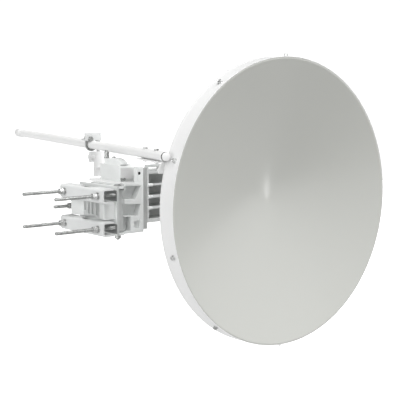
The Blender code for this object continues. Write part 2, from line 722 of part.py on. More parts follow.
def u_bolt_route():
    """U-bolt about the strut: a half circle under the pipe and two legs that stand up."""
    radius = STRUT_RADIUS + GAP + U_WIRE
    leg_end = STRUT_RADIUS + GAP + ANGLE_THICK + U_LEG_TIP
    route = [Vector((-radius, 0.0, leg_end))]
    for i in range(13):
        angle = math.pi + math.pi * i / 12
        route.append(Vector((radius * math.cos(angle), 0.0, radius * math.sin(angle))))
    route.append(Vector((radius, 0.0, leg_end)))
    return route


def tower_clamp(clamp, lug):
    low = STRUT_RADIUS + GAP
    high = low + ANGLE_THICK
    leg = STRUT_RADIUS + GAP + U_WIRE
    bend = -ANGLE_HALF_LENGTH + ANGLE_THICK
    angle = [(-ANGLE_HALF_LENGTH, low), (ANGLE_HALF_LENGTH, low), (ANGLE_HALF_LENGTH, high),
             (bend, high), (bend, ANGLE_TOP), (-ANGLE_HALF_LENGTH, ANGLE_TOP)]
    strap_side = ANGLE_HALF_WIDTH - INSET
    strap = box(strap_side - ANGLE_THICK, strap_side, -STRAP_HALF_LENGTH, STRAP_HALF_LENGTH,
                STRAP_BOTTOM, high - ANGLE_THICK / 2)
    pivot_back = -STRAP_HALF_LENGTH + ANGLE_THICK
    tab = box(TAB_LEFT, strap_side - ANGLE_THICK / 2, -STRAP_HALF_LENGTH + INSET, pivot_back,
              STRAP_BOTTOM + INSET, TAB_TOP)
    holes = [at_clamp(rod((side * leg, 0, low - CUT), (side * leg, 0, high + CUT), U_WIRE + GAP))
             for side in (-1, 1)]
    holes.append(at_clamp(rod((0, LUG_NEAR - CUT, LUG_PIVOT), (0, pivot_back + CUT, LUG_PIVOT),
                              LUG_BOLT_RADIUS + GAP)))
    piece("anchor_plate", PAINTED_STEEL, clamp,
          at_clamp(prism(angle, "X", -ANGLE_HALF_WIDTH, ANGLE_HALF_WIDTH)),
          [at_clamp(strap), at_clamp(tab)], holes)

    nuts = [at_clamp(hexagon((side * leg, 0, high + GAP), (side * leg, 0, high + U_NUT_THICK), U_NUT_FLATS))
            for side in (-1, 1)]
    piece("strut_u_bolt", STEEL, clamp, at_clamp(bent_rod(u_bolt_route(), U_WIRE, 12)), nuts, smooth=40)

    head = LUG_NEAR - GAP
    piece("lug_bolt", STEEL, clamp,
          at_clamp(rod((0, head - U_NUT_THICK / 2, LUG_PIVOT), (0, pivot_back + U_LEG_TIP / 2, LUG_PIVOT),
                       LUG_BOLT_RADIUS)),
          [at_clamp(hexagon((0, head - U_NUT_THICK, LUG_PIVOT), (0, head, LUG_PIVOT), U_NUT_FLATS)),
           at_clamp(hexagon((0, pivot_back + GAP, LUG_PIVOT), (0, pivot_back + U_NUT_THICK / 2, LUG_PIVOT),
                            U_NUT_FLATS))])

    outline = [(LUG_INSIDE, LUG_BOTTOM), (LUG_RIGHT, LUG_BOTTOM), (LUG_RIGHT, LUG_PIVOT + LUG_EAR)]
    for i in range(13):
        angle = math.radians(90.0 + 15.0 * i)
        outline.append((LUG_EAR * math.cos(angle), LUG_PIVOT + LUG_EAR * math.sin(angle)))
    outline.append((LUG_INSIDE, LUG_PIVOT - LUG_EAR))
    pin_x, pin_z = LUG_PIN
    pin = rod((pin_x, LUG_NEAR - LUG_PIN_LENGTH, pin_z), (pin_x, LUG_NEAR + ANGLE_THICK / 2, pin_z),
              LUG_PIN_RADIUS, 12)
    piece("tower_lug", PAINTED_STEEL, lug,
          at_clamp(prism(outline, "Y", LUG_NEAR, LUG_FAR)), [at_clamp(pin)],
          [at_clamp(rod((0, LUG_NEAR - CUT, LUG_PIVOT), (0, LUG_FAR + CUT, LUG_PIVOT),
                        LUG_BOLT_RADIUS + GAP))])


def strut_point(x, y, z):
    """World place of a point given in the strut's own frame."""
    place = Matrix.Translation((STRUT_X, STRUT_Y, STRUT_Z)) @ Matrix.Rotation(STRUT_YAW, 4, "Z")
    return place @ Vector((x, y, z))


def main():
    clear_scene()
    pole_bracket()
    clamp_jaw("upper", ROD_Z)
    clamp_jaw("lower", -ROD_Z)
    azimuth = axis_empty("azimuth_axis", (AZIMUTH_X, AZIMUTH_Y, 0.0))
    azimuth_head(azimuth)
    elevation = axis_empty("elevation_axis", (CAST_RIGHT, ELEVATION_Y, ELEVATION_Z), azimuth)
    elevation_head(elevation)
    dish(elevation)
    strut(elevation)
    clamp = axis_empty("clamp_slide", strut_point(0.0, CLAMP_AT, 0.0), elevation, STRUT_YAW)
    pivot = strut_point(0.0, CLAMP_AT + (LUG_NEAR + LUG_FAR) / 2, LUG_PIVOT)
    lug = axis_empty("lug_axis", pivot, elevation, STRUT_YAW)
    tower_clamp(clamp, lug)


main()
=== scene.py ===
# %% [markdown]
# # A dish antenna beside its pole
# This lesson dresses a finished CAD model of a microwave dish: its grey face cover, its white band
# with screws, the pointing mount, four clamp rods and a long side strut. The CAD model says where
# everything is. Here each piece gets its fine shape and its finish.

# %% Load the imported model
import json
import math

import bmesh
import bpy
import numpy as np
from mathutils import Matrix, Vector

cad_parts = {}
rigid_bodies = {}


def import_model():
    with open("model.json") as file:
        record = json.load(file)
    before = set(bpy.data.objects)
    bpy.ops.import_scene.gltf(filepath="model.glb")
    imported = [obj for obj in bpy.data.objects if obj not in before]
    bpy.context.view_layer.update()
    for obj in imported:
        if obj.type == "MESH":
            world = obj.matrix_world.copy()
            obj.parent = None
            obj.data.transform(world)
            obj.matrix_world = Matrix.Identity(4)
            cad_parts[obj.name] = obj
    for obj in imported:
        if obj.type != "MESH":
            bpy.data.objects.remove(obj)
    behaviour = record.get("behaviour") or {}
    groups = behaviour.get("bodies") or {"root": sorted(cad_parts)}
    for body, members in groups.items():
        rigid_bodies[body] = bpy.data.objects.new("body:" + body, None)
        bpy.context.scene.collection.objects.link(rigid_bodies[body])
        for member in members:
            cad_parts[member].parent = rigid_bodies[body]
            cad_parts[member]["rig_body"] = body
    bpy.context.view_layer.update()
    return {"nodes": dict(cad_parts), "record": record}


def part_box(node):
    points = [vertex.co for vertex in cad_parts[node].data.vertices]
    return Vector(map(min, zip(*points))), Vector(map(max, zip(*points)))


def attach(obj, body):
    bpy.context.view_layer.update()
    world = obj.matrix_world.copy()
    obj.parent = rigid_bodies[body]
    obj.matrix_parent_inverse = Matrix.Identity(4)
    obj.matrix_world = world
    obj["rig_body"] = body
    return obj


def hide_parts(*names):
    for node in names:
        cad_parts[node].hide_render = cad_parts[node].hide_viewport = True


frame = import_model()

NODES = frame["nodes"]

# %% [markdown]
# ## The camera
# The photograph was taken from the dish's front left, a little above the mount. A long lens keeps
# the circle of the rim close to a true ellipse. The camera's right, up and backward directions
# were found by fitting the ellipses of the rim.

# %% Camera
CAMERA_PLACE = Vector((-1.2337, -1.8957, 0.2796))
CAMERA_RIGHT = Vector((0.776, -0.6307, 0.0)).normalized()
CAMERA_BACK = Vector((-0.6265, -0.7709, 0.1149)).normalized()
CAMERA_UP = CAMERA_BACK.cross(CAMERA_RIGHT)


def put_in_scene(name, data):
    """New object that shows a mesh, a light or a camera."""
    item = bpy.data.objects.new(name, data)
    bpy.context.scene.collection.objects.link(item)
    return item


lens = bpy.data.cameras.new("photo_camera")
lens.lens = 90.0
lens.sensor_width = 36.0
lens.clip_end = 60.0
camera = put_in_scene("photo_camera", lens)
turn = Matrix((CAMERA_RIGHT, CAMERA_UP, CAMERA_BACK)).transposed().to_4x4()
camera.matrix_world = Matrix.Translation(CAMERA_PLACE) @ turn
bpy.context.scene.camera = camera
print("lens", lens.lens, "mm, camera", round(CAMERA_PLACE.length, 2), "m from the pole seat")

# %% [markdown]
# ## Meshes from arrays
# Most pieces are surfaces worked out with numpy: a grid of points whose rows run along the piece
# and whose columns run round it. One helper turns any such grid into a closed mesh. They could be
# modelled by hand too, but a formula keeps exactly to the sizes of the CAD model.

# %% From a grid to an object
CREASE = 35.0
PIECES = []


def smooth_object(name, mesh, sharp=CREASE):
    """Object that is shaded smooth, but creased where faces meet at more than so many degrees."""
    mesh.shade_smooth()
    mesh.set_sharp_from_angle(angle=math.radians(sharp))
    return put_in_scene(name, mesh)


def cleaned(mesh, weld=False):
    """Turns all faces outwards. With weld, loose triangles first become whole flat faces."""
    work = bmesh.new()
    work.from_mesh(mesh)
    if weld:
        bmesh.ops.remove_doubles(work, verts=work.verts, dist=0.00002)
        bmesh.ops.dissolve_limit(work, angle_limit=math.radians(0.8), verts=work.verts, edges=work.edges)
    bmesh.ops.recalc_face_normals(work, faces=work.faces)
    work.to_mesh(mesh)
    work.free()


def grid_object(name, grid, closed=False, sharp=CREASE):
    """Object of a grid with shape (rows, columns, 3); its columns always wrap round.

    closed joins the last row to the first. Otherwise a flat face closes each end.
    """
    rows, columns = grid.shape[:2]
    index = np.arange(rows * columns).reshape(rows, columns)
    below = index if closed else index[:-1]
    above = np.roll(index, -1, axis=0) if closed else index[1:]
    quads = np.stack([below, np.roll(below, -1, axis=1), np.roll(above, -1, axis=1), above], axis=-1)
    faces = quads.reshape(-1, 4).tolist()
    if not closed:
        faces += [index[0, ::-1].tolist(), index[-1].tolist()]
    mesh = bpy.data.meshes.new(name)
    mesh.from_pydata(grid.reshape(-1, 3), [], faces)
    cleaned(mesh)
    return smooth_object(name, mesh, sharp)


def middle(node, across=(1, 1, 1)):
    """Middle of a CAD node's box; a zero in across puts that coordinate to zero."""
    low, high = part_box(node)
    return (low + high) / 2 * Vector(across)


def rides(item, node, slot):
    """A piece that moves with a CAD node's body and takes a slot's finish."""
    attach(item, NODES[node]["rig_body"])
    PIECES.append((item, slot))
    return item


def stands_for(item, node, slot):
    """A piece that also takes the node's place."""
    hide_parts(node)
    return rides(item, node, slot)


print(len(NODES), "CAD nodes to dress")

# %% [markdown]
# ## Turned pieces
# A profile of radius and height, carried round an axis, gives every round piece here. The same
# function makes hexagons: then the radius at each angle is the smaller of the profile's radius
# and the distance to the hexagon's flat side, which also cuts the chamfer of a nut by itself. A
# Screw modifier turns a profile as well, but it can't make flat sides.

# %% Turning a profile
FROM_POLE = Vector((1.0, 0.0, 0.0))
UP = Vector((0.0, 0.0, 1.0))


def around(axis, angle):
    """Unit direction = first * cos(angle) + second * sin(angle), both at right angles to the axis."""
    axis = np.asarray(axis, float)
    helper = np.array([0.0, 0.0, 1.0]) if abs(axis[2]) < 0.9 else np.array([0.0, 1.0, 0.0])
    first = np.cross(helper, axis)
    first /= np.linalg.norm(first)
    second = np.cross(axis, first)
    return first * np.cos(angle)[..., None] + second * np.sin(angle)[..., None]


def turned(name, profile, origin, axis, columns=48, flats=None, **mesh_settings):
    """Point = origin + axis * height + radius * direction, for each (radius, height) and angle.

    With flats the radius is at most flats / 2 / cos(angle within its sixth of a turn).
    """
    profile = np.asarray(profile, float)
    axis = np.asarray(axis, float) / np.linalg.norm(axis)
    angle = np.arange(columns) * 2 * np.pi / columns
    radius = np.repeat(profile[:, :1], columns, axis=1)
    if flats is not None:
        within = np.mod(angle, np.pi / 3) - np.pi / 6
        radius = np.minimum(radius, flats / 2 / np.cos(within))
    grid = axis * profile[:, 1, None, None] + radius[..., None] * around(axis, angle)
    return grid_object(name, np.asarray(origin, float) + grid, **mesh_settings)


print("round pieces have 48 sides, if nothing else is said")

# %% [markdown]
# ## Threads
# A thread is a ridge that climbs by one pitch for each turn. So the radius falls and rises with
# height / pitch minus angle / full turn: where that number is whole there is a crest. A groove
# could also be cut with a Boolean, but that is slow and leaves ragged faces.

# %% Threaded bars
THREAD_PITCH = 0.00125
THREAD_DEPTH = 0.0007
RINGS_A_PITCH = 5


def threaded(name, start, end, radius, pitch=THREAD_PITCH, depth=THREAD_DEPTH, columns=18):
    """Radius = full radius - depth * triangle wave of (height / pitch - angle / turn).

    Near both ends it also stays under a chamfer of forty-five degrees, cut 1.6 depths deep.
    """
    start = np.asarray(start, float)
    span = np.asarray(end, float) - start
    length = np.linalg.norm(span)
    axis = span / length
    height = np.linspace(0.0, length, int(length / pitch * RINGS_A_PITCH) + 2)[:, None]
    angle = np.arange(columns)[None, :] * 2 * np.pi / columns
    wave = np.abs(np.mod(height / pitch - angle / (2 * np.pi), 1.0) * 2 - 1)
    from_end = np.minimum(height, length - height)
    size = np.minimum(radius - depth * wave, radius - depth * 1.6 + from_end)
    grid = start + axis * height[..., None] + size[..., None] * around(axis, angle)
    return grid_object(name, grid, sharp=80.0)


ROD_NODES = ["clamp_rod_upper_front", "clamp_rod_upper_rear", "clamp_rod_lower_front", "clamp_rod_lower_rear",
             "azimuth_screw"]
for node in ROD_NODES:
    low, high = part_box(node)
    foot = middle(node, (0, 1, 1))
    rod_radius = (high.y - low.y) / 2
    rod = threaded(node + "_thread", foot + FROM_POLE * low.x, foot + FROM_POLE * high.x, rod_radius)
    stands_for(rod, node, "steel")
print(len(ROD_NODES), "threaded bars of", round(rod_radius * 2000, 1), "mm")

# %% [markdown]
# ## Nuts, washers and bolts
# Each jaw is held by a flat washer, a split spring washer, a full nut and a thin lock nut. They
# are the darkest, sharpest details on the left of the photograph, so each one gets real chamfers.
# A stack is a table: the kind of piece, its height over the seat, its radius or width over
# flats, and its thickness.

# %% Washers and nuts
CHAMFER = math.tan(math.radians(30.0))
NUT_FACE = 0.475
CORNER = 0.60
SPLIT = 0.2


def washer(origin, axis, radius, thick, bore):
    """Flat ring whose four edges are broken by a fifth of its thickness."""
    edge = thick * 0.2
    profile = [(bore, 0.0), (radius - edge, 0.0), (radius, edge), (radius, thick - edge),
               (radius - edge, thick), (bore, thick)]
    return turned("washer", profile, origin, axis, 40, closed=True)


def spring_washer(origin, axis, radius, thick, bore):
    """Split ring: four fifths of its thickness high, and it climbs a sixth of it once round."""
    axis = np.asarray(axis, float)
    angle = np.linspace(SPLIT / 2, 2 * np.pi - SPLIT / 2, 44)[:, None]
    corners = np.array([(bore, 0.0), (radius, 0.0), (radius, thick), (bore, thick)])
    height = corners[:, 1] * 0.8 + thick * angle / (12 * np.pi)
    grid = axis * height[..., None] + corners[:, :1] * around(axis, angle)
    return grid_object("spring_washer", np.asarray(origin, float) + grid)


def chamfer(face, corner):
    """(radius, height) from a round face out past the corners, at thirty degrees to the face."""
    reach = np.linspace(0.0, corner - face, 4)
    return np.stack([face + reach, reach * CHAMFER], axis=1)


def upturned(profile, thick):
    """The same profile seen from a piece's other face: height becomes thick - height."""
    return (profile * (1, -1) + (0.0, thick))[::-1]


def nut(origin, axis, flats, thick, bore):
    """Hexagon with both faces and the bore chamfered; face and corner are shares of its flats."""
    lower = np.concatenate([[(bore, thick * 0.06), (bore * 1.06, 0.0)],
                            chamfer(flats * NUT_FACE, flats * CORNER)])
    profile = np.concatenate([lower, upturned(lower, thick)])
    return turned("nut", profile, origin, axis, 48, flats, closed=True)


def stacked(seat, out, bore, rows):
    """The pieces of a stack, which stand on the seat one after the other along out."""
    return [make(seat + out * height, out, width, thick, bore) for make, height, width, thick in rows]


JAW_STACK = [(washer, 0.0, 0.0085, 0.0016), (spring_washer, 0.0017, 0.0068, 0.0018),
             (nut, 0.0037, 0.013, 0.0065), (nut, 0.0104, 0.013, 0.0038)]
AZIMUTH_STACK = [(washer, 0.0, 0.0085, 0.0016), (nut, 0.0017, 0.013, 0.0075), (nut, 0.0094, 0.013, 0.0055)]
print("a jaw's stack is", round((JAW_STACK[-1][1] + JAW_STACK[-1][3]) * 1000, 1), "mm high")

# %% Stacks on the rods
ROD_BORE = 0.0041
BRIGHT_PIECES = []


def joined(name, parts):
    """One object from several, with their meshes kept as separate closed shells."""
    work = bmesh.new()
    for part in parts:
        mesh = part.data
        work.from_mesh(mesh)
        bpy.data.objects.remove(part, do_unlink=True)
        bpy.data.meshes.remove(mesh)
    mesh = bpy.data.meshes.new(name)
    work.to_mesh(mesh)
    work.free()
    return smooth_object(name, mesh)


def nuts_on_rod(node, ending, rows):
    """The stack that stands for a nut's node; its seat is the node's side away from the pole."""
    seat = middle(node, (0, 1, 1)) + FROM_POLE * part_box(node)[1].x
    stack = joined(node + ending, stacked(seat, -FROM_POLE, ROD_BORE, rows))
    BRIGHT_PIECES.append(stands_for(stack, node, "steel"))


for level in ("upper", "lower"):
    for place in ("front", "rear"):
        nuts_on_rod(level + "_jaw_nut_" + place, "_stack", JAW_STACK)
nuts_on_rod("azimuth_screw_nut", "_pair", AZIMUTH_STACK)
print(len(BRIGHT_PIECES), "nut stacks")

# %% [markdown]
# ## Bolts with heads
# A hexagon bolt is a turned profile too, with a small washer face under its head and a chamfer on
# top. A plain six-sided cylinder would miss the curved edges of that chamfer, which catch the
# light. Its shank is a thread where it shows.

# %% Hexagon heads
HEAD_FACE = 0.46
HEAD_SEAT = 0.47


def head_profile(flats, thick):
    """Washer face, corners wider than the flats, and a chamfered top."""
    crown = upturned(chamfer(flats * HEAD_FACE, flats * CORNER), thick)
    return [(flats * HEAD_SEAT, 0.0), (flats * HEAD_SEAT, thick * 0.06), (flats * CORNER, thick * 0.07),
            *crown, (flats * HEAD_FACE * 0.96, thick)]


def bolt_head(origin, axis, flats, thick):
    return turned("head", head_profile(flats, thick), origin, axis, 48, flats)


print("a head is turned from", len(head_profile(0.013, 0.005)), "points")

# %% [markdown]
# The mount has an upright hinge bolt that it turns about, an upright elevation screw, and a level
# bolt that the dish tilts on. The boxes of their CAD nodes say where they start and end, so that
# they fit if the model changes.

# %% The mount's bolts
CLEARANCE = 0.0003
SHANK_RADIUS = 0.004
HINGE_BORE = 0.0042
HINGE_WASHER = (washer, 0.0, 0.0085, 0.0012)
HINGE_NUT = (nut, 0.0013, 0.0135, 0.0067)
SCREW_STACK = [(nut, 0.1125, 0.011, 0.0072), (nut, 0.1199, 0.011, 0.0055), (washer, 0.1110, 0.0070, 0.0014)]
PIVOT_RADIUS = 0.006
PIVOT_WASHER = 0.0016

hinge_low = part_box("hinge_bolt")[0].z
hinge_foot = middle("hinge_bolt", (1, 1, 0))
ear_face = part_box("bracket_plate")[1].z + CLEARANCE
hinge = joined("hinge_bolt_full", [
    threaded("shank", hinge_foot + UP * hinge_low, hinge_foot + UP * (ear_face + 0.002), SHANK_RADIUS),
    *stacked(hinge_foot + UP * ear_face, UP, HINGE_BORE, [HINGE_WASHER]),
    bolt_head(hinge_foot + UP * (ear_face + HINGE_WASHER[3]), UP, 0.013, 0.0026),
    *stacked(hinge_foot - UP * ear_face, -UP, HINGE_BORE, [HINGE_WASHER, HINGE_NUT])])
stands_for(hinge, "hinge_bolt", "steel")

screw_foot = middle("elevation_screw", (1, 1, 0))
screw_low, screw_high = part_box("elevation_screw")
block_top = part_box("elevation_block")[1].z
screw = joined("elevation_screw_full", [
    threaded("shank", screw_foot + UP * screw_low.z, screw_foot + UP * screw_high.z, SHANK_RADIUS),
    *stacked(screw_foot, UP, ROD_BORE, SCREW_STACK)])
stands_for(screw, "elevation_screw", "steel")
sleeve_profile = [
    (0.0042, 0.0), (0.0066, 0.0), (0.0070, 0.0004), (0.0070, 0.0009), (0.0061, 0.0022), (0.0058, 0.0040),
    (0.0058, 0.0122), (0.0052, 0.0128), (0.0042, 0.0128)]
sleeve = turned("elevation_screw_sleeve", sleeve_profile, screw_foot + UP * block_top, UP, 40, closed=True)
rides(sleeve, "elevation_screw", "painted_cast")

pivot_foot = middle("elevation_bolt", (0, 1, 1))
pivot_low, pivot_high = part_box("elevation_bolt")
side_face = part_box("elevation_plate")[1].x + CLEARANCE
head_seat = side_face + PIVOT_WASHER
pivot = joined("elevation_bolt_full", [
    turned("shank", [(PIVOT_RADIUS - 0.0005, 0.0), (PIVOT_RADIUS, 0.0005),
                     (PIVOT_RADIUS, side_face - pivot_low.x + 0.001)],
           pivot_foot + FROM_POLE * pivot_low.x, FROM_POLE, 32),
    washer(pivot_foot + FROM_POLE * side_face, FROM_POLE, 0.012, PIVOT_WASHER, 0.0058),
    bolt_head(pivot_foot + FROM_POLE * head_seat, FROM_POLE, 0.019, pivot_high.x - head_seat)])
stands_for(pivot, "elevation_bolt", "steel")
print("hinge bolt, elevation screw and pivot bolt made")

# %% [markdown]
# ## The dish
# The dish is three turned skins. The white band is a strip of sheet with a shallow bead along
# each edge. Its thin front lip is almost flush with the grey cover, which lies on a shelf inside
# it, so from the front the cover seems to reach the very edge. Each bead ends in two rings close
# together, because one alone would spread the shading of its bend over the whole flat strip.

# %% Band
DISH_SIDES = 256
BAND_WALL = 0.0035
LIP = 0.0012
LIP_ROUND = 0.0006
BEAD_HEIGHT = 0.0005
SHELF_DEPTH = 0.0036
band_low, band_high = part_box("shroud_ring")
DISH_CENTRE = middle("shroud_ring", (1, 0, 1))
DISH_RADIUS = (band_high.x - band_low.x) / 2
RIM_FRONT = band_low.y
BAND_BACK = band_high.y


def arc(centre, radius, start, end, steps):
    """Points of a circular arc: centre + radius * (cos, sin) of evenly spaced degrees."""
    angle = np.radians(np.linspace(start, end, steps))
    return np.stack([centre[0] + radius * np.cos(angle), centre[1] + radius * np.sin(angle)], axis=1)


def about_dish(name, profile, **mesh_settings):
    """Turns (radius, y) points about the dish axis."""
    return turned(name, profile, DISH_CENTRE, (0, 1, 0), DISH_SIDES, **mesh_settings)


bead = np.array([(0.0, 0.0034), (-BEAD_HEIGHT, 0.0042), (-BEAD_HEIGHT, 0.0052)])
band_inside = DISH_RADIUS - BAND_WALL
lip_inside = DISH_RADIUS - LIP
shelf_y = RIM_FRONT + SHELF_DEPTH
band_profile = np.concatenate([
    arc((DISH_RADIUS - LIP_ROUND, RIM_FRONT + LIP_ROUND), LIP_ROUND, -90, 0, 5),
    bead + (DISH_RADIUS, RIM_FRONT),
    bead[::-1] * (1, -1) + (DISH_RADIUS, BAND_BACK),
    [(DISH_RADIUS, BAND_BACK - LIP_ROUND), (DISH_RADIUS - LIP_ROUND, BAND_BACK), (band_inside, BAND_BACK),
     (band_inside, shelf_y + 0.0004), (lip_inside, shelf_y), (lip_inside, RIM_FRONT + 0.0003)]])
band = about_dish("rim_band", band_profile, closed=True, sharp=50.0)
stands_for(band, "shroud_ring", "white_paint")
print("dish radius", round(DISH_RADIUS, 4), "m, band from", round(RIM_FRONT, 4), "to", round(BAND_BACK, 4))

# %% [markdown]
# The light on the real cover changes most round the tip and hardly near the rim, so it isn't a
# straight cone: it is flatter in the middle. Its slope starts low at the tip, grows quickly at
# first and then slowly. An exponential and a straight line do this together, and the depth, which
# is the area under the slope, can be written down exactly.

# %% Face cover
FACE_EDGE = lip_inside - 0.0002
FACE_WALL = 0.003
FACE_ROUND = 0.0006
EDGE_Y = RIM_FRONT + 0.0003
FACE_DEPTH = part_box("radome")[1].y - FACE_WALL - EDGE_Y
TIP_FLATNESS = 0.70
TIP_REACH = 0.065
TIP_BLEND = 0.006
SLOPE_GROWTH = 0.20


def cover_depth(radius):
    """Depth is the area under slope = steepness * (1 - flatness * exp(-r / reach)) + growth * r.

    It runs from r to the edge. Here r = sqrt(radius^2 + blend^2), which rounds the tip, and the
    steepness is chosen so that the tip is as deep as the CAD cover's.
    """
    def settled(r):
        return r + TIP_FLATNESS * TIP_REACH * np.exp(-r / TIP_REACH)

    def grown(r):
        return SLOPE_GROWTH / 2 * r ** 2

    edge = math.hypot(FACE_EDGE, TIP_BLEND)
    steepness = (FACE_DEPTH - grown(edge) + grown(TIP_BLEND)) / (settled(edge) - settled(TIP_BLEND))
    r = np.hypot(radius, TIP_BLEND)
    return steepness * (settled(edge) - settled(r)) + grown(edge) - grown(r)


# The rings lie closer together near the tip, and a tiny disc closes it on each side.
radii = FACE_EDGE * np.linspace(0.0, 1.0, 110) ** 1.5
radii[0] = 0.0004
front_skin = np.stack([radii, EDGE_Y + cover_depth(radii)], axis=1)
front_skin[-1] = (FACE_EDGE - 0.0004, EDGE_Y)
face_round = arc((FACE_EDGE - FACE_ROUND, EDGE_Y + FACE_ROUND), FACE_ROUND, -60, 0, 4)
back_radii = radii[::-1] - 0.0001
back_skin = np.stack([back_radii, EDGE_Y + cover_depth(back_radii) + FACE_WALL], axis=1)
face = about_dish("face_cover", np.concatenate([front_skin, face_round, back_skin]), sharp=60.0)
stands_for(face, "radome", "face_cover")
print("cover", round(FACE_DEPTH * 1000), "mm deep")

# %% [markdown]
# The reflector is the metal bowl behind the cover: a parabola with a flat middle for the hub and
# a flange at its edge, which the band is screwed to. Inside and outside are one outline, which
# gives the sheet its thickness at the flange too, better than a Solidify modifier would.

# %% Reflector
BOWL_EDGE = DISH_RADIUS - 0.009
BOWL_WALL = 0.003
BOWL_DEPTH = 0.129
HUB_FLAT = 0.105
FLANGE_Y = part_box("reflector")[0].y
FLANGE_BACK = FLANGE_Y + BOWL_WALL


def bowl_y(radius):
    """Parabola y = vertex - depth * (radius / edge)^2, level inside the hub's radius."""
    return FLANGE_Y + BOWL_DEPTH * (1 - (np.maximum(radius, HUB_FLAT) / BOWL_EDGE) ** 2)


inside = np.concatenate([[0.0006, 0.05], np.linspace(HUB_FLAT, BOWL_EDGE, 40)])
bowl_profile = np.concatenate([
    np.stack([inside, bowl_y(inside)], axis=1),
    [(DISH_RADIUS - 0.0005, FLANGE_Y), (DISH_RADIUS, FLANGE_Y + 0.0005),
     (DISH_RADIUS, FLANGE_BACK - 0.0008), (DISH_RADIUS - 0.0008, FLANGE_BACK)],
    arc((BOWL_EDGE + 0.0035, FLANGE_BACK + 0.002), 0.002, -90, -150, 5),
    np.stack([inside[::-1], bowl_y(inside[::-1]) + BOWL_WALL], axis=1)[1:]])
bowl = about_dish("reflector_bowl", bowl_profile, sharp=40.0)
stands_for(bowl, "reflector", "white_paint")
print("bowl", round(BOWL_DEPTH * 1000), "mm deep")

# %% [markdown]
# ## Rim screws
# Ten screws hold the band. Each has a round flange under a low hexagon head, and a small dimple
# in its top, as pressed steel screws do. They could be ten copies of one mesh. A function that
# builds each at its own place needs no turning afterwards.

# %% Ten flange screws
RIM_SCREW_FLATS = 0.008
RIM_SCREW_HEIGHT = 0.0066
RIM_FLANGE = [(0.0050, 0.0), (0.0055, 0.0004), (0.0055, 0.0010), (0.0047, 0.0016)]
DIMPLE = [(0.0031, RIM_SCREW_HEIGHT), (0.0026, 0.0059), (0.0006, 0.0057)]


def rim_screw(node):
    """Flange and head on the band, pointing straight out from the dish axis."""
    on_axis = DISH_CENTRE + middle(node, (0, 1, 0))
    outward = (middle(node) - on_axis).normalized()
    foot = on_axis + outward * (DISH_RADIUS - 0.0006)
    head = head_profile(RIM_SCREW_FLATS, RIM_SCREW_HEIGHT)[:-1] + DIMPLE
    return joined(node + "_flanged", [turned("flange", RIM_FLANGE, foot, outward, 32),
                                      turned("head", head, foot, outward, 48, RIM_SCREW_FLATS)])


for number in range(1, 11):
    node = "rim_screw_%02d" % number
    BRIGHT_PIECES.append(stands_for(rim_screw(node), node, "steel"))
print("ten rim screws")

# %% [markdown]
# ## Clamp jaws
# A jaw is a strip of sheet bent into a channel. Its cross-section is one closed outline with
# round bends, and an arc for the pole is cut into both flanges. A Boolean would leave thin faces
# there that shade badly. So the outline's free ends move back where the arc is, and the whole jaw
# is this outline carried along Y.

# %% Bent channels
JAW_WALL = 0.0035
JAW_BEND = 0.0065
JAW_EDGE = 0.0006
INSIDE_STEPS = 5


def jaw_outline(flange_end, web, half):
    """Closed outline of a channel, as (x, z) for each flange end.

    It runs out along the lower flange, round two bends of the web, along the upper flange, and
    back inside at one wall's thickness.
    """
    rows = len(flange_end)
    bend = web + JAW_BEND
    bend_z = half - JAW_BEND
    inner = JAW_BEND - JAW_WALL
    outside = np.concatenate([arc((bend, -bend_z), JAW_BEND, 270, 180, 7),
                              arc((bend, bend_z), JAW_BEND, 180, 90, 7)])
    inside = np.concatenate([arc((bend, bend_z), inner, 90, 180, INSIDE_STEPS),
                             arc((bend, -bend_z), inner, 180, 270, INSIDE_STEPS)])

    def flange_tip(heights):
        x = flange_end[:, None] - np.array([JAW_EDGE, 0.0, 0.0, JAW_EDGE])
        return np.stack([x, np.broadcast_to(heights, (rows, 4))], axis=2)

    lower = flange_tip([JAW_WALL - half, JAW_WALL - half - JAW_EDGE, JAW_EDGE - half, -half])
    upper = flange_tip([half, half - JAW_EDGE, half - JAW_WALL + JAW_EDGE, half - JAW_WALL])
    return np.concatenate([np.broadcast_to(part, (rows, *part.shape[-2:]))
                           for part in (lower, outside, upper, inside)], axis=1)


print("sheet", JAW_WALL * 1000, "mm thick, bent with a radius of", JAW_BEND * 1000, "mm")

# %% Two jaws
ARC_RADIUS = 0.030
ARC_MIDDLE = -0.0005
JAWS = []
for level in ("upper", "lower"):
    node = level + "_jaw"
    low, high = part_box(node)
    along = np.concatenate([[low.y], np.linspace(low.y + JAW_EDGE, high.y - JAW_EDGE, 121), [high.y]])
    arc_depth = np.sqrt(np.maximum(ARC_RADIUS ** 2 - along ** 2, 0.0))
    flange_end = np.where(np.abs(along) < ARC_RADIUS, ARC_MIDDLE - arc_depth, high.x)
    outline = jaw_outline(np.minimum(flange_end, high.x), low.x, (high.z - low.z) / 2)
    rows, columns = outline.shape[:2]
    jaw_grid = np.stack([outline[..., 0], np.broadcast_to(along[:, None], (rows, columns)),
                         outline[..., 1] + middle(node).z], axis=-1)
    jaw = grid_object(node + "_channel", jaw_grid, sharp=40.0)
    JAWS.append(stands_for(jaw, node, "painted_steel"))
    # The last columns are the channel's inside, which gets painted shade, a near-black finish, further down.
    face_number = np.arange(len(jaw.data.polygons))
    is_inside = (face_number % columns >= columns - 2 * INSIDE_STEPS) & (face_number < (rows - 1) * columns)
    jaw.data.polygons.foreach_set("material_index", is_inside.astype(np.int32))
print("two jaws, each with", int(is_inside.sum()), "faces inside")
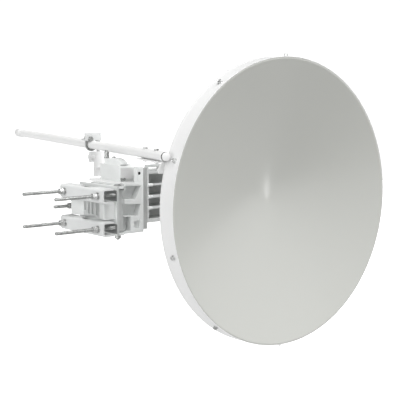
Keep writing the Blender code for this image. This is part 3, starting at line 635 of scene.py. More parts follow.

# %% [markdown]
# ## The side strut
# The strut is a pipe that leaves the rim at fourteen degrees from the dish axis. Everything on it
# is made in the strut's own directions, across, along and up, so its sizes read as on a drawing
# of a level pipe. Its far end wears a slip-on cap, and its near end a dome on a ring that is
# painted near black as painted shade.

# %% Pipe, caps and bolts
STRUT_START = Vector((0.010, -0.2435, 0.1315))
STRUT_TURN = math.radians(-14.0)
ACROSS = Vector((math.cos(STRUT_TURN), math.sin(STRUT_TURN), 0.0))
ALONG = Vector((-math.sin(STRUT_TURN), math.cos(STRUT_TURN), 0.0))
PIPE_RADIUS = 0.01025
PIPE_WALL = 0.0018
PIPE_EDGE = 0.0005
PIPE_FRONT = -0.0125
STRUT_END = 1.145
PIPE_STOP = STRUT_END - 0.0020


def on_strut(across, along, up):
    return STRUT_START + ACROSS * across + ALONG * along + UP * up


pipe_rings = np.linspace(PIPE_FRONT + 0.001, PIPE_STOP - 0.001, 60)[1:-1]
pipe_along = np.array([PIPE_FRONT, PIPE_FRONT, PIPE_FRONT + PIPE_EDGE, *pipe_rings,
                       PIPE_STOP - PIPE_EDGE, PIPE_STOP, PIPE_STOP])
pipe_radius = np.full(len(pipe_along), PIPE_RADIUS)
pipe_radius[[0, -1]] -= PIPE_WALL
pipe_radius[[1, -2]] -= PIPE_EDGE
pipe = turned("strut_pipe", np.stack([pipe_radius, pipe_along], axis=1), STRUT_START, ALONG, closed=True)
stands_for(pipe, "strut_tube", "painted_steel")

NECK = PIPE_RADIUS - PIPE_WALL - 0.0004
SLIP = PIPE_RADIUS + 0.0019
dome_angle = np.linspace(0.0, 1.53, 10)
dome = np.stack([0.0094 * np.cos(dome_angle), 0.0060 + 0.0020 * np.sin(dome_angle)], axis=1)
FRONT_CAP = np.concatenate([[(0.0080, 0.0032), (0.0090, 0.0034), (0.0094, 0.0038)], dome])
REAR_CAP = [(PIPE_RADIUS + 0.0001, -0.0460), (SLIP - 0.0005, -0.0460), (SLIP, -0.0452), (SLIP, -0.0030),
            (SLIP - 0.0004, -0.0018), (SLIP - 0.0012, -0.0012), (NECK * 0.6, -0.0009), (0.0004, -0.0008)]
CAP_RING = [(NECK, -0.010), (NECK, 0.0002), (0.0099, 0.0004), (0.0101, 0.0007), (0.0101, 0.0026),
            (0.0098, 0.0030), (0.0078, 0.0031)]
rides(turned("strut_cap_front", FRONT_CAP, on_strut(0, PIPE_FRONT, 0), -ALONG), "strut_tube", "white_paint")
rides(turned("strut_cap_rear", REAR_CAP, on_strut(0, STRUT_END, 0), ALONG), "strut_tube", "white_paint")
# The ring behind the dome is painted near black further down, as painted shade.
cap_ring = turned("strut_cap_ring", CAP_RING, on_strut(0, PIPE_FRONT, 0), -ALONG)
rides(cap_ring, "strut_tube", "steel")
print("strut pipe with its caps", round(STRUT_END - PIPE_FRONT, 4), "m long")

# %% [markdown]
# Two bolts hold the pipe to the bracket at the rim. They go down through both, with a nut below.
# The parts of the mount's bolts are used again here, with a finer thread.

# %% Strut bolts
STRUT_THREAD = {"radius": 0.003, "pitch": 0.001, "depth": 0.0006, "columns": 14}
STRUT_BOLT_FLATS = 0.010
STRUT_NUT = 0.0034

for place, at in (("front", 0.0345), ("rear", 0.0965)):
    node = "strut_bolt_" + place
    bolt_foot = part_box(node)[0].z - STRUT_START.z
    bolt_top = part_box(node)[1].z - STRUT_START.z
    head_foot = PIPE_RADIUS + 0.0001
    bolt = joined(node + "_full", [
        threaded("shank", on_strut(0, at, bolt_foot), on_strut(0, at, PIPE_RADIUS), **STRUT_THREAD),
        bolt_head(on_strut(0, at, head_foot), UP, STRUT_BOLT_FLATS, bolt_top - head_foot),
        nut(on_strut(0, at, -PIPE_RADIUS - STRUT_NUT), -UP, STRUT_BOLT_FLATS, STRUT_NUT, 0.0031)])
    stands_for(bolt, node, "steel")
print("two strut bolts")

# %% [markdown]
# ## The tower clamp
# A U-bolt goes under the pipe and up through an angle, where two nuts pull it tight. Its rod is
# one circle carried along the U: a straight leg, half a turn and the other leg. A curve with a
# round bevel would do as well, but a grid can be joined with its nuts by the same helpers.

# %% U-bolt
CLAMP_AT = 0.454
ANGLE_TOP = 0.01455
U_WIRE = 0.0028
U_LEG = PIPE_RADIUS + CLEARANCE + U_WIRE
U_STACK = [(washer, 0.0001, 0.0060, 0.0010), (nut, 0.0012, 0.010, 0.0042)]


def carried_circle(path, radius, normal, columns=16):
    """Point = path + radius * (side * cos(angle) + normal * sin(angle)), side = tangent x normal."""
    tangent = np.gradient(path, axis=0)
    tangent /= np.linalg.norm(tangent, axis=1, keepdims=True)
    side = np.cross(tangent, normal)
    angle = np.arange(columns)[None, :, None] * 2 * np.pi / columns
    direction = side[:, None, :] * np.cos(angle) + normal * np.sin(angle)
    return path[:, None, :] + radius[:, None, None] * direction


u_heights = np.linspace(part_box("strut_u_bolt")[1].z - STRUT_START.z, 0.001, 60)
leg = np.stack([np.full(60, U_LEG), u_heights], axis=1)
u_path = np.concatenate([leg * (-1, 1), arc((0.0, 0.0), U_LEG, 180, 360, 33), leg[::-1]])
path = np.array(on_strut(0, CLAMP_AT, 0)) + u_path[:, :1] * np.array(ACROSS) + u_path[:, 1:] * np.array(UP)
wire_radius = np.full(len(path), U_WIRE)
wire_radius[[0, -1]] = U_WIRE * 0.75
u_parts = [grid_object("wire", carried_circle(path, wire_radius, np.array(ALONG)))]
for across in (-U_LEG, U_LEG):
    u_parts += stacked(on_strut(across, CLAMP_AT, ANGLE_TOP), UP, U_WIRE, U_STACK)
stands_for(joined("strut_u_bolt_full", u_parts), "strut_u_bolt", "steel")

LUG_UP = -0.0296
lug_seat = on_strut(0, CLAMP_AT - 0.012 - CLEARANCE, LUG_UP)
lug_bolt = joined("lug_bolt_full", [
    bolt_head(lug_seat, -ALONG, 0.009, 0.0022),
    turned("shank", [(0.003, 0.0), (0.003, 0.0100), (0.0026, 0.0124)], lug_seat, ALONG, 24),
    nut(on_strut(0, CLAMP_AT - 0.0036, LUG_UP), ALONG, 0.010, 0.0022, 0.0029)])
stands_for(lug_bolt, "lug_bolt", "painted_steel")
print("U-bolt legs", round(U_LEG * 2000, 1), "mm apart")

# %% [markdown]
# ## Castings and plates
# Cast and cut pieces are never perfectly sharp. Their forms come from the CAD model, so here a
# copy of each is merged back into one skin, its flat faces are made whole, and a Bevel rounds
# every edge. Castings get a wide soft edge, cut plates a narrow one.

# %% Rounded copies
def rounded(node, width, slot, segments=3):
    """Copy of a CAD node with whole flat faces and rounded edges, which takes the node's place."""
    mesh = NODES[node].data.copy()
    mesh.name = node + "_rounded"
    cleaned(mesh, weld=True)
    mesh.shade_smooth()
    item = put_in_scene(mesh.name, mesh)
    bevel = item.modifiers.new("edge", "BEVEL")
    bevel.width = width
    bevel.segments = segments
    bevel.limit_method = "ANGLE"
    bevel.angle_limit = math.radians(30.0)
    bevel.harden_normals = True
    return stands_for(item, node, slot)


CAST_EDGES = {"pole_seat": 0.0010, "bracket_plate": 0.0008, "azimuth_casting": 0.0011,
              "elevation_block": 0.0016, "ribbed_arm": 0.0010, "hub_ring": 0.0012}
CASTINGS = {node: rounded(node, width, "painted_cast") for node, width in CAST_EDGES.items()}
anchor = rounded("anchor_plate", 0.0005, "painted_steel")
rounded("azimuth_plate", 0.0008, "painted_steel")
rounded("strut_end_bracket", 0.0005, "painted_steel")
lug = rounded("tower_lug", 0.0005, "painted_steel")
rounded("elevation_plate", 0.0009, "bare_cast")
rounded("feed_port", 0.0006, "steel", 2)
print(len(CASTINGS), "castings and six other pieces rounded")

# %% [markdown]
# ## Finishes
# Four effects are shared by the materials: the orange peel of powder coat, the skin of a sand
# casting, zinc that has clouded, and a thin film of dust. Each one is a node group that gives
# out a colour, a roughness or a normal that changes over the surface. The helpers take either a
# socket to link or a plain value, so a group reads like a short formula.

# %% Building node groups
SKIN_OUTPUTS = {"Color": "Color", "Roughness": "Float", "Normal": "Vector"}


def feed(tree, socket, value):
    """Links another socket, or sets a number or a colour of red, green and blue."""
    if hasattr(value, "links"):
        tree.links.new(value, socket)
    else:
        socket.default_value = (*value, 1.0) if isinstance(value, tuple) else value


def add_node(tree, kind, values=None, **settings):
    """New shader node; the settings are its own properties, and the values go to its sockets."""
    item = tree.nodes.new("ShaderNode" + kind)
    for name, value in settings.items():
        setattr(item, name, value)
    for name, value in (values or {}).items():
        feed(tree, item.inputs[name], value)
    return item


def new_group(name, inputs, outputs):
    """Empty shader group, with a start value for each input and a kind for each output."""
    group = bpy.data.node_groups.new(name, "ShaderNodeTree")
    for title, value in inputs.items():
        kind = "NodeSocketColor" if isinstance(value, tuple) else "NodeSocketFloat"
        feed(group, group.interface.new_socket(title, in_out="INPUT", socket_type=kind), value)
    for title, kind in outputs.items():
        group.interface.new_socket(title, in_out="OUTPUT", socket_type="NodeSocket" + kind)
    return group, group.nodes.new("NodeGroupInput").outputs, group.nodes.new("NodeGroupOutput").inputs


print("a skin group puts out", ", ".join(SKIN_OUTPUTS))

# %% Short names for common nodes
def coordinates(tree, kind="Object"):
    return add_node(tree, "TexCoord").outputs[kind]


def axes_of(tree, vector):
    return add_node(tree, "SeparateXYZ", {"Vector": vector}).outputs


def noise(tree, scale, detail=3.0, rough=0.55):
    """Noise on Object coordinates, so that it stays with the piece."""
    values = {"Vector": coordinates(tree), "Scale": scale, "Detail": detail, "Roughness": rough}
    return add_node(tree, "TexNoise", values).outputs["Fac"]


def ranged(tree, source, low, high, to_low, to_high):
    """Stretches what lies between low and high to the two last numbers."""
    values = {"Value": source, "From Min": low, "From Max": high, "To Min": to_low, "To Max": to_high}
    return add_node(tree, "MapRange", values).outputs["Result"]


def calculated(tree, operation, *terms):
    return add_node(tree, "Math", dict(enumerate(terms)), operation=operation).outputs["Value"]


def blended(tree, factor, first, second):
    """Colour mix; an RGBA Mix node has its two colours at its inputs 6 and 7."""
    return add_node(tree, "Mix", {"Factor": factor, 6: first, 7: second}, data_type="RGBA").outputs[2]


def bumped(tree, height, distance, strength):
    values = {"Height": height, "Distance": distance, "Strength": strength}
    return add_node(tree, "Bump", values).outputs["Normal"]


print("seven kinds of node have a short name")

# %% [markdown]
# Powder coat melts into a skin with tiny waves, called orange peel, and its tone drifts a little
# over a hand's width. The waves are a fine noise that feeds a Bump node.

# %% Powder coat
coat, given, result = new_group(
    "powder_coat", {"Paint": (0.8, 0.8, 0.8), "Shade": (0.7, 0.7, 0.7), "Peel size": 500.0,
                    "Peel height": 0.15, "Gloss": 0.35}, SKIN_OUTPUTS)
drift = ranged(coat, noise(coat, 7.0, 4.0), 0.35, 0.68, 0.0, 1.0)
feed(coat, result["Color"], blended(coat, drift, given["Paint"], given["Shade"]))
peel = noise(coat, given["Peel size"], 2.0)
feed(coat, result["Normal"], bumped(coat, peel, 0.0004, given["Peel height"]))
rubbed = ranged(coat, noise(coat, 38.0, 5.0, 0.65), 0.3, 0.7, -0.02, 0.03)
feed(coat, result["Roughness"], calculated(coat, "ADD", rubbed, given["Gloss"]))
print("powder coat group:", len(coat.nodes), "nodes")

# %% [markdown]
# Sand leaves its grains in a casting. Under paint they stay visible as a rough, pitted skin, so
# this group mixes a grain noise with the round cells of a Voronoi texture for the pits.

# %% Cast skin
cast, given, result = new_group(
    "cast_skin", {"Metal": (0.8, 0.8, 0.8), "Hollows": (0.6, 0.6, 0.6), "Grain height": 0.35, "Gloss": 0.5},
    SKIN_OUTPUTS)
grain = noise(cast, 420.0, 5.0, 0.62)
cells = add_node(cast, "TexVoronoi", {"Vector": coordinates(cast), "Scale": 260.0})
pits = ranged(cast, cells.outputs["Distance"], 0.0, 0.32, 0.0, 1.0)
sand = calculated(cast, "MULTIPLY", grain, pits)
feed(cast, result["Normal"], bumped(cast, sand, 0.0006, given["Grain height"]))
cloud = ranged(cast, noise(cast, 16.0, 5.0), 0.4, 0.72, 0.0, 1.0)
feed(cast, result["Color"], blended(cast, cloud, given["Metal"], given["Hollows"]))
uneven = ranged(cast, grain, 0.3, 0.7, -0.07, 0.07)
feed(cast, result["Roughness"], calculated(cast, "ADD", uneven, given["Gloss"]))
print("cast skin group:", len(cast.nodes), "nodes")

# %% [markdown]
# Zinc plating on bolts is bright in the hollows and dull where a spanner or a thread has rubbed.
# A noise clouds the colour and the roughness together, and a much finer one scuffs the surface.

# %% Clouded zinc
zinc, given, result = new_group(
    "clouded_zinc", {"Bright": (0.7, 0.7, 0.68), "Dull": (0.4, 0.4, 0.39), "Gloss": 0.3}, SKIN_OUTPUTS)
worn = ranged(zinc, noise(zinc, 120.0, 6.0, 0.68), 0.38, 0.66, 0.0, 1.0)
feed(zinc, result["Color"], blended(zinc, worn, given["Bright"], given["Dull"]))
feed(zinc, result["Roughness"], calculated(zinc, "MULTIPLY_ADD", worn, 0.22, given["Gloss"]))
feed(zinc, result["Normal"], bumped(zinc, noise(zinc, 1500.0, 2.0), 0.0002, 0.25))
print("zinc group:", len(zinc.nodes), "nodes")

# %% [markdown]
# Dust lies on what faces up. Its mask is the upward part of the surface's own normal, broken up
# by noise, and it mixes a pale grey over whatever colour comes in. On the strut's painted steel
# its amount is high enough to be painted shade, which darkens the pipe's lit top.

# %% Dust film, also painted shade on tops
dust_and_shade, given, result = new_group(
    "dust_film", {"Color": (0.8, 0.8, 0.8), "Dust": (0.72, 0.71, 0.68), "Amount": 0.25}, {"Color": "Color"})
upward = ranged(dust_and_shade, axes_of(dust_and_shade, coordinates(dust_and_shade, "Normal"))["Z"], 0.2, 0.95, 0.0, 1.0)
broken = ranged(dust_and_shade, noise(dust_and_shade, 55.0, 6.0, 0.7), 0.38, 0.62, 0.15, 1.0)
lying = calculated(dust_and_shade, "MULTIPLY", upward, broken)
film = calculated(dust_and_shade, "MULTIPLY", lying, given["Amount"])
feed(dust_and_shade, result["Color"], blended(dust_and_shade, film, given["Color"], given["Dust"]))
print("dust group:", len(dust_and_shade.nodes), "nodes")

# %% [markdown]
# ## Materials
# Each material puts one skin group and the dust film in front of a Principled shader; on the
# strut the dust film is also painted shade on the pipe's top. The shader stays in the material
# itself. White paint, painted castings and painted steel are cousins: the same powder on a smooth,
# a grainy and a drawn surface. The ribbed arm has a thinner, greyer coat all over, and the walls
# of the casting's pockets get a darker grey, which is painted shade.

# %% Materials from the groups
def set_shader(tree, values):
    for title, value in values.items():
        feed(tree, tree.nodes["Principled BSDF"].inputs[title], value)


def finished(name, group, values, dust_and_top_shade=0.0, metallic=0.0, varnish=0.0, varnish_roughness=0.25):
    """Material of a skin group, its inputs in order, under a dust film that can also be painted shade on
    tops, and perhaps a clear varnish.
    """
    made = bpy.data.materials.new(name)
    made.use_nodes = True
    tree = made.node_tree
    skin = add_node(tree, "Group", dict(enumerate(values)), node_tree=group).outputs
    dusted_and_shaded = add_node(tree, "Group", {"Color": skin["Color"], "Amount": dust_and_top_shade}, node_tree=dust_and_shade).outputs
    set_shader(tree, {"Base Color": dusted_and_shaded["Color"], "Roughness": skin["Roughness"], "Normal": skin["Normal"],
                      "Metallic": metallic, "Coat Weight": varnish, "Coat Roughness": varnish_roughness})
    return made


# The rows give paint, shade, peel size, peel height and gloss to powder coat, metal, hollows, grain
# height and gloss to a cast skin, and bright, dull and gloss to zinc.
WHITE = finished("white_powder_coat", coat, ((0.745, 0.747, 0.745), (0.725, 0.727, 0.725), 420.0, 0.12, 0.34),
                 dust_and_top_shade=0.05, varnish=0.15)
FACE = finished("grey_face_cover", coat, ((0.384, 0.389, 0.366), (0.380, 0.385, 0.362), 900.0, 0.03, 0.30),
                varnish=1.0, varnish_roughness=0.14)
# Its thick dust film is partly painted shade: it darkens the lit top of the strut pipe.
PAINTED = finished("painted_steel", coat, ((0.815, 0.817, 0.813), (0.80, 0.802, 0.798), 600.0, 0.16, 0.36),
                   dust_and_top_shade=0.25, varnish=0.1)
THIN_COAT = finished("thin_coated_steel", coat, ((0.69, 0.70, 0.697), (0.62, 0.63, 0.628), 700.0, 0.18, 0.38),
                     dust_and_top_shade=0.12, varnish=0.1)
CAST = finished("painted_casting", cast, ((0.745, 0.76, 0.752), (0.69, 0.705, 0.697), 0.22, 0.46),
                dust_and_top_shade=0.10, varnish=0.05)
ARM = finished("thin_coated_casting", cast, ((0.62, 0.633, 0.625), (0.56, 0.572, 0.565), 0.25, 0.46),
               dust_and_top_shade=0.10, varnish=0.05)
# Painted shade: a darker grey for the walls of the casting's pockets that face the pole.
POCKET_SHADE = finished("painted_shade_in_pockets", cast, ((0.60, 0.612, 0.606), (0.55, 0.562, 0.556), 0.22, 0.50),
                  dust_and_top_shade=0.10)
BARE = finished("bare_casting", cast, ((0.49, 0.495, 0.49), (0.40, 0.405, 0.40), 0.35, 0.50),
                dust_and_top_shade=0.10, metallic=0.4)
# Painted shade: a darker grey on front faces of the bracket plate and of the casting's part near the pole.
FRONT_SHADE = finished("painted_shade_on_fronts", cast, ((0.51, 0.522, 0.516), (0.46, 0.472, 0.466), 0.10, 0.40))
ZINC = finished("zinc_plate", zinc, ((0.50, 0.508, 0.50), (0.26, 0.265, 0.26), 0.24), metallic=0.85)
BRIGHT_ZINC = finished("bright_zinc", zinc, ((0.68, 0.685, 0.68), (0.36, 0.365, 0.36), 0.20), metallic=0.85)
# Near black: painted shade for the channels' insides, the ear's hole and the ring behind the strut's dome.
PAINTED_SHADE_INSIDE = finished("painted_shade_inside", zinc, ((0.06, 0.062, 0.061), (0.04, 0.042, 0.041), 0.50))
print(len(bpy.data.materials), "materials in the scene")

# %% [markdown]
# Two places get painted shade, a darker grey: the seat's toothed groove, and the bracket plate
# where the jaws cover it. One group finds such a patch from the Object coordinates: one
# coordinate lies between two limits, and the surface lies in front of a third. A mask painted by
# hand would need a picture file, and its edges would be less sharp.

# %% Painted shade patches
# The seat's toothed groove between these limits gets painted shade.
TEETH = [(-0.0325, 0.0325)]
TEETH_FRONT = 0.0045
# Bands of the bracket plate behind the jaws, which get painted shade.
JAW_SHADE_BANDS = [(0.0225, 0.0465), (-0.0505, -0.029)]
PLATE_FRONT = 0.0088
patch, given, result = new_group(
    "painted_shade_patch", {"Color": (0.8, 0.8, 0.8), "Shade colour": (0.5, 0.51, 0.505), "Along": 0.0, "From": 0.0,
                   "To": 0.01, "Front": 0.0}, {"Color": "Color"})
past_start = calculated(patch, "GREATER_THAN", given["Along"], given["From"])
before_end = calculated(patch, "LESS_THAN", given["Along"], given["To"])
in_front = calculated(patch, "LESS_THAN", axes_of(patch, coordinates(patch))["X"], given["Front"])
between = calculated(patch, "MULTIPLY", past_start, before_end)
is_shaded = calculated(patch, "MULTIPLY", between, in_front)
feed(patch, result["Color"], blended(patch, is_shaded, given["Color"], given["Shade colour"]))


def with_painted_shade_patches(name, direction, limits, front, bare):
    """Copy of the painted casting's material with patches of painted shade between limits along Y or Z."""
    made = CAST.copy()
    made.name = name
    tree = made.node_tree
    base = tree.nodes["Principled BSDF"].inputs["Base Color"]
    colour = base.links[0].from_socket
    along = axes_of(tree, coordinates(tree))[direction]
    for start, end in limits:
        values = {"Color": colour, "Shade colour": bare, "Along": along, "From": start, "To": end, "Front": front}
        colour = add_node(tree, "Group", values, node_tree=patch).outputs["Color"]
    feed(tree, base, colour)
    return made


# Both colours are painted shade: a darker grey in the seat's groove and a dark grey behind the jaws.
SEAT_WITH_SHADE = with_painted_shade_patches("seat_with_painted_shade_in_groove", "Y", TEETH, TEETH_FRONT, (0.50, 0.513, 0.507))
PLATE_WITH_SHADE = with_painted_shade_patches("plate_with_painted_shade_bands", "Z", JAW_SHADE_BANDS, PLATE_FRONT, (0.22, 0.227, 0.223))
print("bare patch group:", len(patch.nodes), "nodes")

# %% [markdown]
# ## The arched cover
# A low cover lies on the elevation block, like a flat loaf: level on top, steep at both ends.
# Its cross-section is a strip with rounded shoulders, and the arch stretches it in height. A
# rounded cube would be too soft at its foot, where the real cover meets the block at an edge.

# %% The arched cover on the block
ARCH_HALF = 0.034
ARCH_TOP = 0.1122
ARCH_X = (0.0490, 0.0680)
ARCH_RISE = ARCH_TOP - block_top


def arch_height(along):
    """Height over the block = rise * (1 - |along / half length|^3)^(1/2)."""
    return ARCH_RISE * np.sqrt(np.maximum(1 - np.abs(along / ARCH_HALF) ** 3, 0.0))


shoulder = np.array([(0.0, 0.0), (0.0, 0.85), (0.0006, 0.95), (0.0020, 1.0)])
arch_x = np.concatenate([ARCH_X[0] + shoulder[:, 0], ARCH_X[1] - shoulder[::-1, 0]])
arch_share = np.concatenate([shoulder[:, 1], shoulder[::-1, 1]])
arch_y = ARCH_HALF * np.sin(np.linspace(-math.pi / 2, math.pi / 2, 49))[:, None]
arch_z = block_top + 0.0001 + np.maximum(arch_height(arch_y), 0.0004) * arch_share
arch_grid = np.stack(np.broadcast_arrays(arch_x, arch_y, arch_z), axis=-1)
arch = grid_object("block_arched_cover", arch_grid, sharp=40.0)
rides(arch, "elevation_block", "painted_cast")
print("arched cover", round(ARCH_RISE * 1000, 1), "mm high")

# %% [markdown]
# ## Small fasteners and fittings
# These are too small for the solids: bolts that lock the turning plate, the ring of bolts on the
# hub, the screws between arm and plate, a bare label plate, and round bosses where ribs meet.
# Without bolts the joints look glued. A fastener's size is its width over flats, the height of
# its head and its washer's radius.

# %% Fasteners
BOLT = (0.010, 0.0055, 0.0080)
LOCK_BOLT = (0.010, 0.0040, 0.0072)
ANGLE_BOLT = (0.010, 0.0050, 0.0060)
PORT_SCREW = (0.0055, 0.0030, 0.0040)
FOOT_SCREW = (0.0055, 0.0025, 0.0036)
ARCH_SCREW = (0.0075, 0.0028, 0.0050)


def fastener(name, node, origin, axis, size, slot="steel"):
    """Hexagon head on a washer whose face lies at the origin."""
    flats, height, washer_radius = size
    item = joined(name, [washer(origin, axis, washer_radius, flats * 0.11, flats * 0.1),
                         bolt_head(Vector(origin) + Vector(axis) * flats * 0.1, axis, flats, height)])
    return rides(item, node, slot)


def on_circle(radius, degrees, y):
    """Point on a circle about the dish axis, the angle counted from the top."""
    angle = math.radians(degrees)
    return Vector((DISH_CENTRE.x + radius * math.sin(angle), y, DISH_CENTRE.z + radius * math.cos(angle)))


print("the locking bolts have", LOCK_BOLT[0] * 1000, "mm heads, the port's screws", PORT_SCREW[0] * 1000)

# %% Places of the fasteners
HUB_CIRCLE = 0.084
PORT_CIRCLE = 0.0305
ARM_END = 0.262
ARM_WALL = 0.0103
SIDE_BOLTS = [(-0.004, 0.078), (-0.004, -0.034), (0.050, 0.078), (0.050, -0.034), (0.050, 0.0165)]
arm_low, arm_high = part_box("ribbed_arm")
plate_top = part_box("azimuth_plate")[1].z
side_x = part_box("elevation_plate")[1].x
block_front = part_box("elevation_block")[0].y
hub_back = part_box("hub_ring")[1].y + ARM_WALL
port_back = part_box("feed_port")[1].y
painted_over = []
for number, y in enumerate((0.054, 0.080), 1):
    place = (0.078, y, plate_top)
    bolt = fastener("plate_bolt_%d" % number, "azimuth_plate", place, UP, LOCK_BOLT, "painted_steel")
    painted_over.append(bolt)
for number in range(12):
    place = on_circle(HUB_CIRCLE, 15 + 30 * number, hub_back)
    hidden_by_arm = place.x < ARM_END and arm_low.z < place.z < arm_high.z
    if not hidden_by_arm:
        fastener("hub_bolt_%02d" % (number + 1), "hub_ring", place, (0, 1, 0), BOLT)
for number in range(8):
    place = on_circle(PORT_CIRCLE, 22.5 + 45 * number, port_back)
    fastener("port_screw_%d" % (number + 1), "feed_port", place, (0, 1, 0), PORT_SCREW)
for number, (y, z) in enumerate(SIDE_BOLTS, 1):
    fastener("side_bolt_%d" % number, "elevation_plate", (side_x, y, z), FROM_POLE, BOLT)
fastener("angle_bolt", "anchor_plate", on_strut(-0.0068, CLAMP_AT - 0.015, 0.0152), -ALONG, ANGLE_BOLT)
for number, x in enumerate((0.0492, 0.0560), 1):
    place = (x, block_front, 0.0665)
    fastener("block_foot_screw_%d" % number, "elevation_block", place, (0, -1, 0), FOOT_SCREW)
fastener("arch_screw", "elevation_block", (0.0570, 0.0060, ARCH_TOP - 0.0002), UP, ARCH_SCREW)
print("with the small fasteners there are", len(PIECES), "pieces")

# %% [markdown]
# Where a rib of the arm meets the side plate the real casting has a round boss. It is a short
# turned pin with a rounded end, one at each rib. The label plate is a rectangle with round
# corners, which is carried outwards by its thickness and shrinks a little at the end.

# %% Rib bosses and the bare label plate
BOSS = [(0.0038, 0.0), (0.0038, 0.0120), (0.0032, 0.0135), (0.0018, 0.0142), (0.0004, 0.0144)]
RIB_HEIGHTS = (-0.00015, 0.02535, 0.0524)
boss_foot = arm_low + Vector((0.001, 0.0042, 0.0))
bosses = joined("arm_rib_bosses", [turned("boss", BOSS, (boss_foot.x, boss_foot.y, height), FROM_POLE, 24)
                                   for height in RIB_HEIGHTS])
rides(bosses, "ribbed_arm", "painted_cast")

LABEL_CORNER = (0.0468, block_front + 0.0001, 0.0655)
LABEL_WIDTH = 0.0300
LABEL_HEIGHT = 0.0260
LABEL_THICK = 0.0008
LABEL_ROUND = 0.0025
right = LABEL_WIDTH - LABEL_ROUND
top = LABEL_HEIGHT - LABEL_ROUND
corners = [(right, LABEL_ROUND), (right, top), (LABEL_ROUND, top), (LABEL_ROUND, LABEL_ROUND)]
outline = np.concatenate([
    arc(centre, LABEL_ROUND, 90 * k - 90, 90 * k, 8) for k, centre in enumerate(corners)])
label_middle = np.array([LABEL_WIDTH / 2, LABEL_HEIGHT / 2])
level = np.array([0.0, 0.7, 1.0])[:, None] * LABEL_THICK
shrink = np.array([1.0, 1.0, 0.985])[:, None, None]
x, z = np.moveaxis(label_middle + (outline - label_middle) * shrink, -1, 0)
label = grid_object("bare_label_plate", np.stack(np.broadcast_arrays(x, -level, z), axis=-1) + LABEL_CORNER)
rides(label, "elevation_block", "white_paint")
print("three bosses and one bare plate of", LABEL_WIDTH * 1000, "x", LABEL_HEIGHT * 1000, "mm")

# %% [markdown]
# ## Dressing every piece
# Each piece, and each hidden CAD node, first takes the usual finish of its slot, and then some take
# another. The front faces of the two big castings near the pole get a darker grey, which is painted
# shade. The walls of the pockets get painted shade too. The ear's hole, the channels' insides and
# the ring behind the strut's dome are painted near black: painted shade where little light gets in.
# Edges and walls are chosen by their place and direction, which stays right when a casting's mesh
# changes, unlike a list of face numbers.

# %% Finishes for whole pieces and for single faces
EAR_HOLE = (0.0751, 0.0806)
EAR_HOLE_RADIUS = 0.0045
POCKET_TOP = 0.054
LEFT_POCKET_X = 0.058
SMALL_POCKET_TOP = -0.020
POCKET_Y = (-0.068, -0.051)


def dress(items, made):
    for item in items:
        item.data.materials.clear()
        item.data.materials.append(made)


def recoat(item, made, chosen):
    """Gives one more material to the faces that chosen(centre, normal) picks."""
    mesh = item.data
    mesh.materials.append(made)
    for side in mesh.polygons:
        if chosen(side.center, side.normal):
            side.material_index = len(mesh.materials) - 1


def on_pocket_wall(centre, normal):
    """The walls that face the pole, in the two large pockets but not in the small one."""
    in_pocket = POCKET_Y[0] < centre.y < POCKET_Y[1] and centre.z < POCKET_TOP
    return in_pocket and normal.x < -0.3 and (centre.z > SMALL_POCKET_TOP or centre.x < LEFT_POCKET_X)


# The faces inside the ear's hole are painted near black, as painted shade.
def in_ear_hole(centre, normal):
    from_middle = math.hypot(centre.x - EAR_HOLE[0], centre.z - EAR_HOLE[1])
    return from_middle < EAR_HOLE_RADIUS and normal.y > -0.5


print("pocket walls end at a height of", POCKET_TOP * 1000, "mm")

# %% Dress them all
# Front faces nearer the pole than these limits get the painted shade.
FRONT_SHADE_TO_X = {"bracket_plate": 0.020, "azimuth_casting": 0.034}
BY_SLOT = {"white_paint": WHITE, "face_cover": FACE, "painted_cast": CAST, "bare_cast": BARE, "steel": ZINC,
           "painted_steel": PAINTED}
PIECES += [(NODES[part["node"]], part["material_slot"]) for part in frame["record"]["subparts"]]
for item, slot in PIECES:
    dress([item], BY_SLOT[slot])
dress(BRIGHT_PIECES, BRIGHT_ZINC)
dress([cap_ring], PAINTED_SHADE_INSIDE)
dress([lug], WHITE)
dress(painted_over, CAST)
dress([CASTINGS["ribbed_arm"]], ARM)
dress([CASTINGS["pole_seat"]], SEAT_WITH_SHADE)
dress([CASTINGS["bracket_plate"]], PLATE_WITH_SHADE)
dress([*JAWS, anchor], THIN_COAT)
# The channels' insides get the painted shade as a second material.
for jaw in JAWS:
    jaw.data.materials.append(PAINTED_SHADE_INSIDE)
for node, limit in FRONT_SHADE_TO_X.items():
    recoat(CASTINGS[node], FRONT_SHADE, lambda centre, normal: normal.y < -0.9 and centre.x < limit)
recoat(CASTINGS["azimuth_casting"], POCKET_SHADE, on_pocket_wall)
recoat(CASTINGS["azimuth_casting"], PAINTED_SHADE_INSIDE, in_ear_hole)
print("dressed", len(PIECES) - len(NODES), "pieces and", len(NODES), "CAD nodes")

# %% [markdown]
# ## Floor and light
# The photograph is a bright product shot on a white sweep, lit by large soft lights: one high up in
# front, which makes the lower half of the cover the brighter one, one from the right, one low on
# the left for the mount, and one low in front that the cover's clear skin mirrors as the bright
# fan below its tip. A small one from below makes the short bright streak above the tip, so the
# floor ends in front of the dish and doesn't stand in its way.

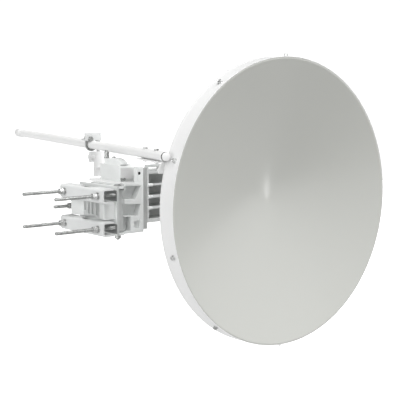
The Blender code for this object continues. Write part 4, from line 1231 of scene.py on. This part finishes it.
# %% Floor
FLOOR_HEIGHT = -1.6
FLOOR_CORNERS = [(-14.0, -3.4), (14.0, -3.4), (14.0, 30.0), (-14.0, 30.0)]
FLOOR_GLOW = 0.75
PURE_WHITE = (1.0, 1.0, 1.0)
floor_mesh = bpy.data.meshes.new("studio_floor")
floor_mesh.from_pydata([(x, y, FLOOR_HEIGHT) for x, y in FLOOR_CORNERS], [], [(0, 1, 2, 3)])
floor = put_in_scene("studio_floor", floor_mesh)
paper = bpy.data.materials.new("studio_paper")
paper.use_nodes = True
tree = paper.node_tree
glow = calculated(tree, "MULTIPLY", add_node(tree, "LightPath").outputs["Is Camera Ray"], FLOOR_GLOW)
set_shader(tree, {"Base Color": (0.54, 0.54, 0.54), "Roughness": 0.9, "Emission Color": PURE_WHITE,
                  "Emission Strength": glow})
floor_mesh.materials.append(paper)
print("floor at", FLOOR_HEIGHT, "m")

# %% Lights and world
# Each light: azimuth from the dish axis towards the pole's side and height above level, in
# degrees, then how wide its source looks, so a large one is a soft one, and its strength.
LIGHTS = {"top_light": (10, 65, 45.0, 0.73), "right_light": (-60, 45, 45.0, 0.54),
          "left_light": (75, 15, 50.0, 0.53), "low_light": (-40, 16, 62.0, 0.28),
          "tip_light": (-47.2, -13.0, 7.0, 0.014)}
SKY_STRENGTH = 0.30
BACKDROP_STRENGTH = 1.1

for name, (azimuth, height, spread, strength) in LIGHTS.items():
    azimuth, height, spread = np.radians([azimuth, height, spread])
    level = math.cos(height)
    direction = Vector((-math.sin(azimuth) * level, -math.cos(azimuth) * level, math.sin(height)))
    lamp = bpy.data.lights.new(name, "SUN")
    lamp.angle = spread
    lamp.energy = strength * math.pi
    aim = direction.to_track_quat("Z", "Y").to_matrix().to_4x4()
    put_in_scene(name, lamp).matrix_world = Matrix.Translation(direction * 4.0) @ aim

world = bpy.data.worlds.new("studio")
bpy.context.scene.world = world
world.use_nodes = True
tree = world.node_tree
sky = tree.nodes["Background"]
feed(tree, sky.inputs["Color"], PURE_WHITE)
feed(tree, sky.inputs["Strength"], SKY_STRENGTH)
backdrop = add_node(tree, "Background", {"Color": PURE_WHITE, "Strength": BACKDROP_STRENGTH})
either = add_node(tree, "MixShader", {"Fac": add_node(tree, "LightPath").outputs["Is Camera Ray"],
                                      1: sky.outputs["Background"], 2: backdrop.outputs["Background"]})
feed(tree, tree.nodes["World Output"].inputs["Surface"], either.outputs["Shader"])

view = bpy.context.scene.view_settings
view.view_transform = "Standard"
view.look = "None"
view.exposure = 0.0
print(len(LIGHTS), "lights, four of them large and soft")
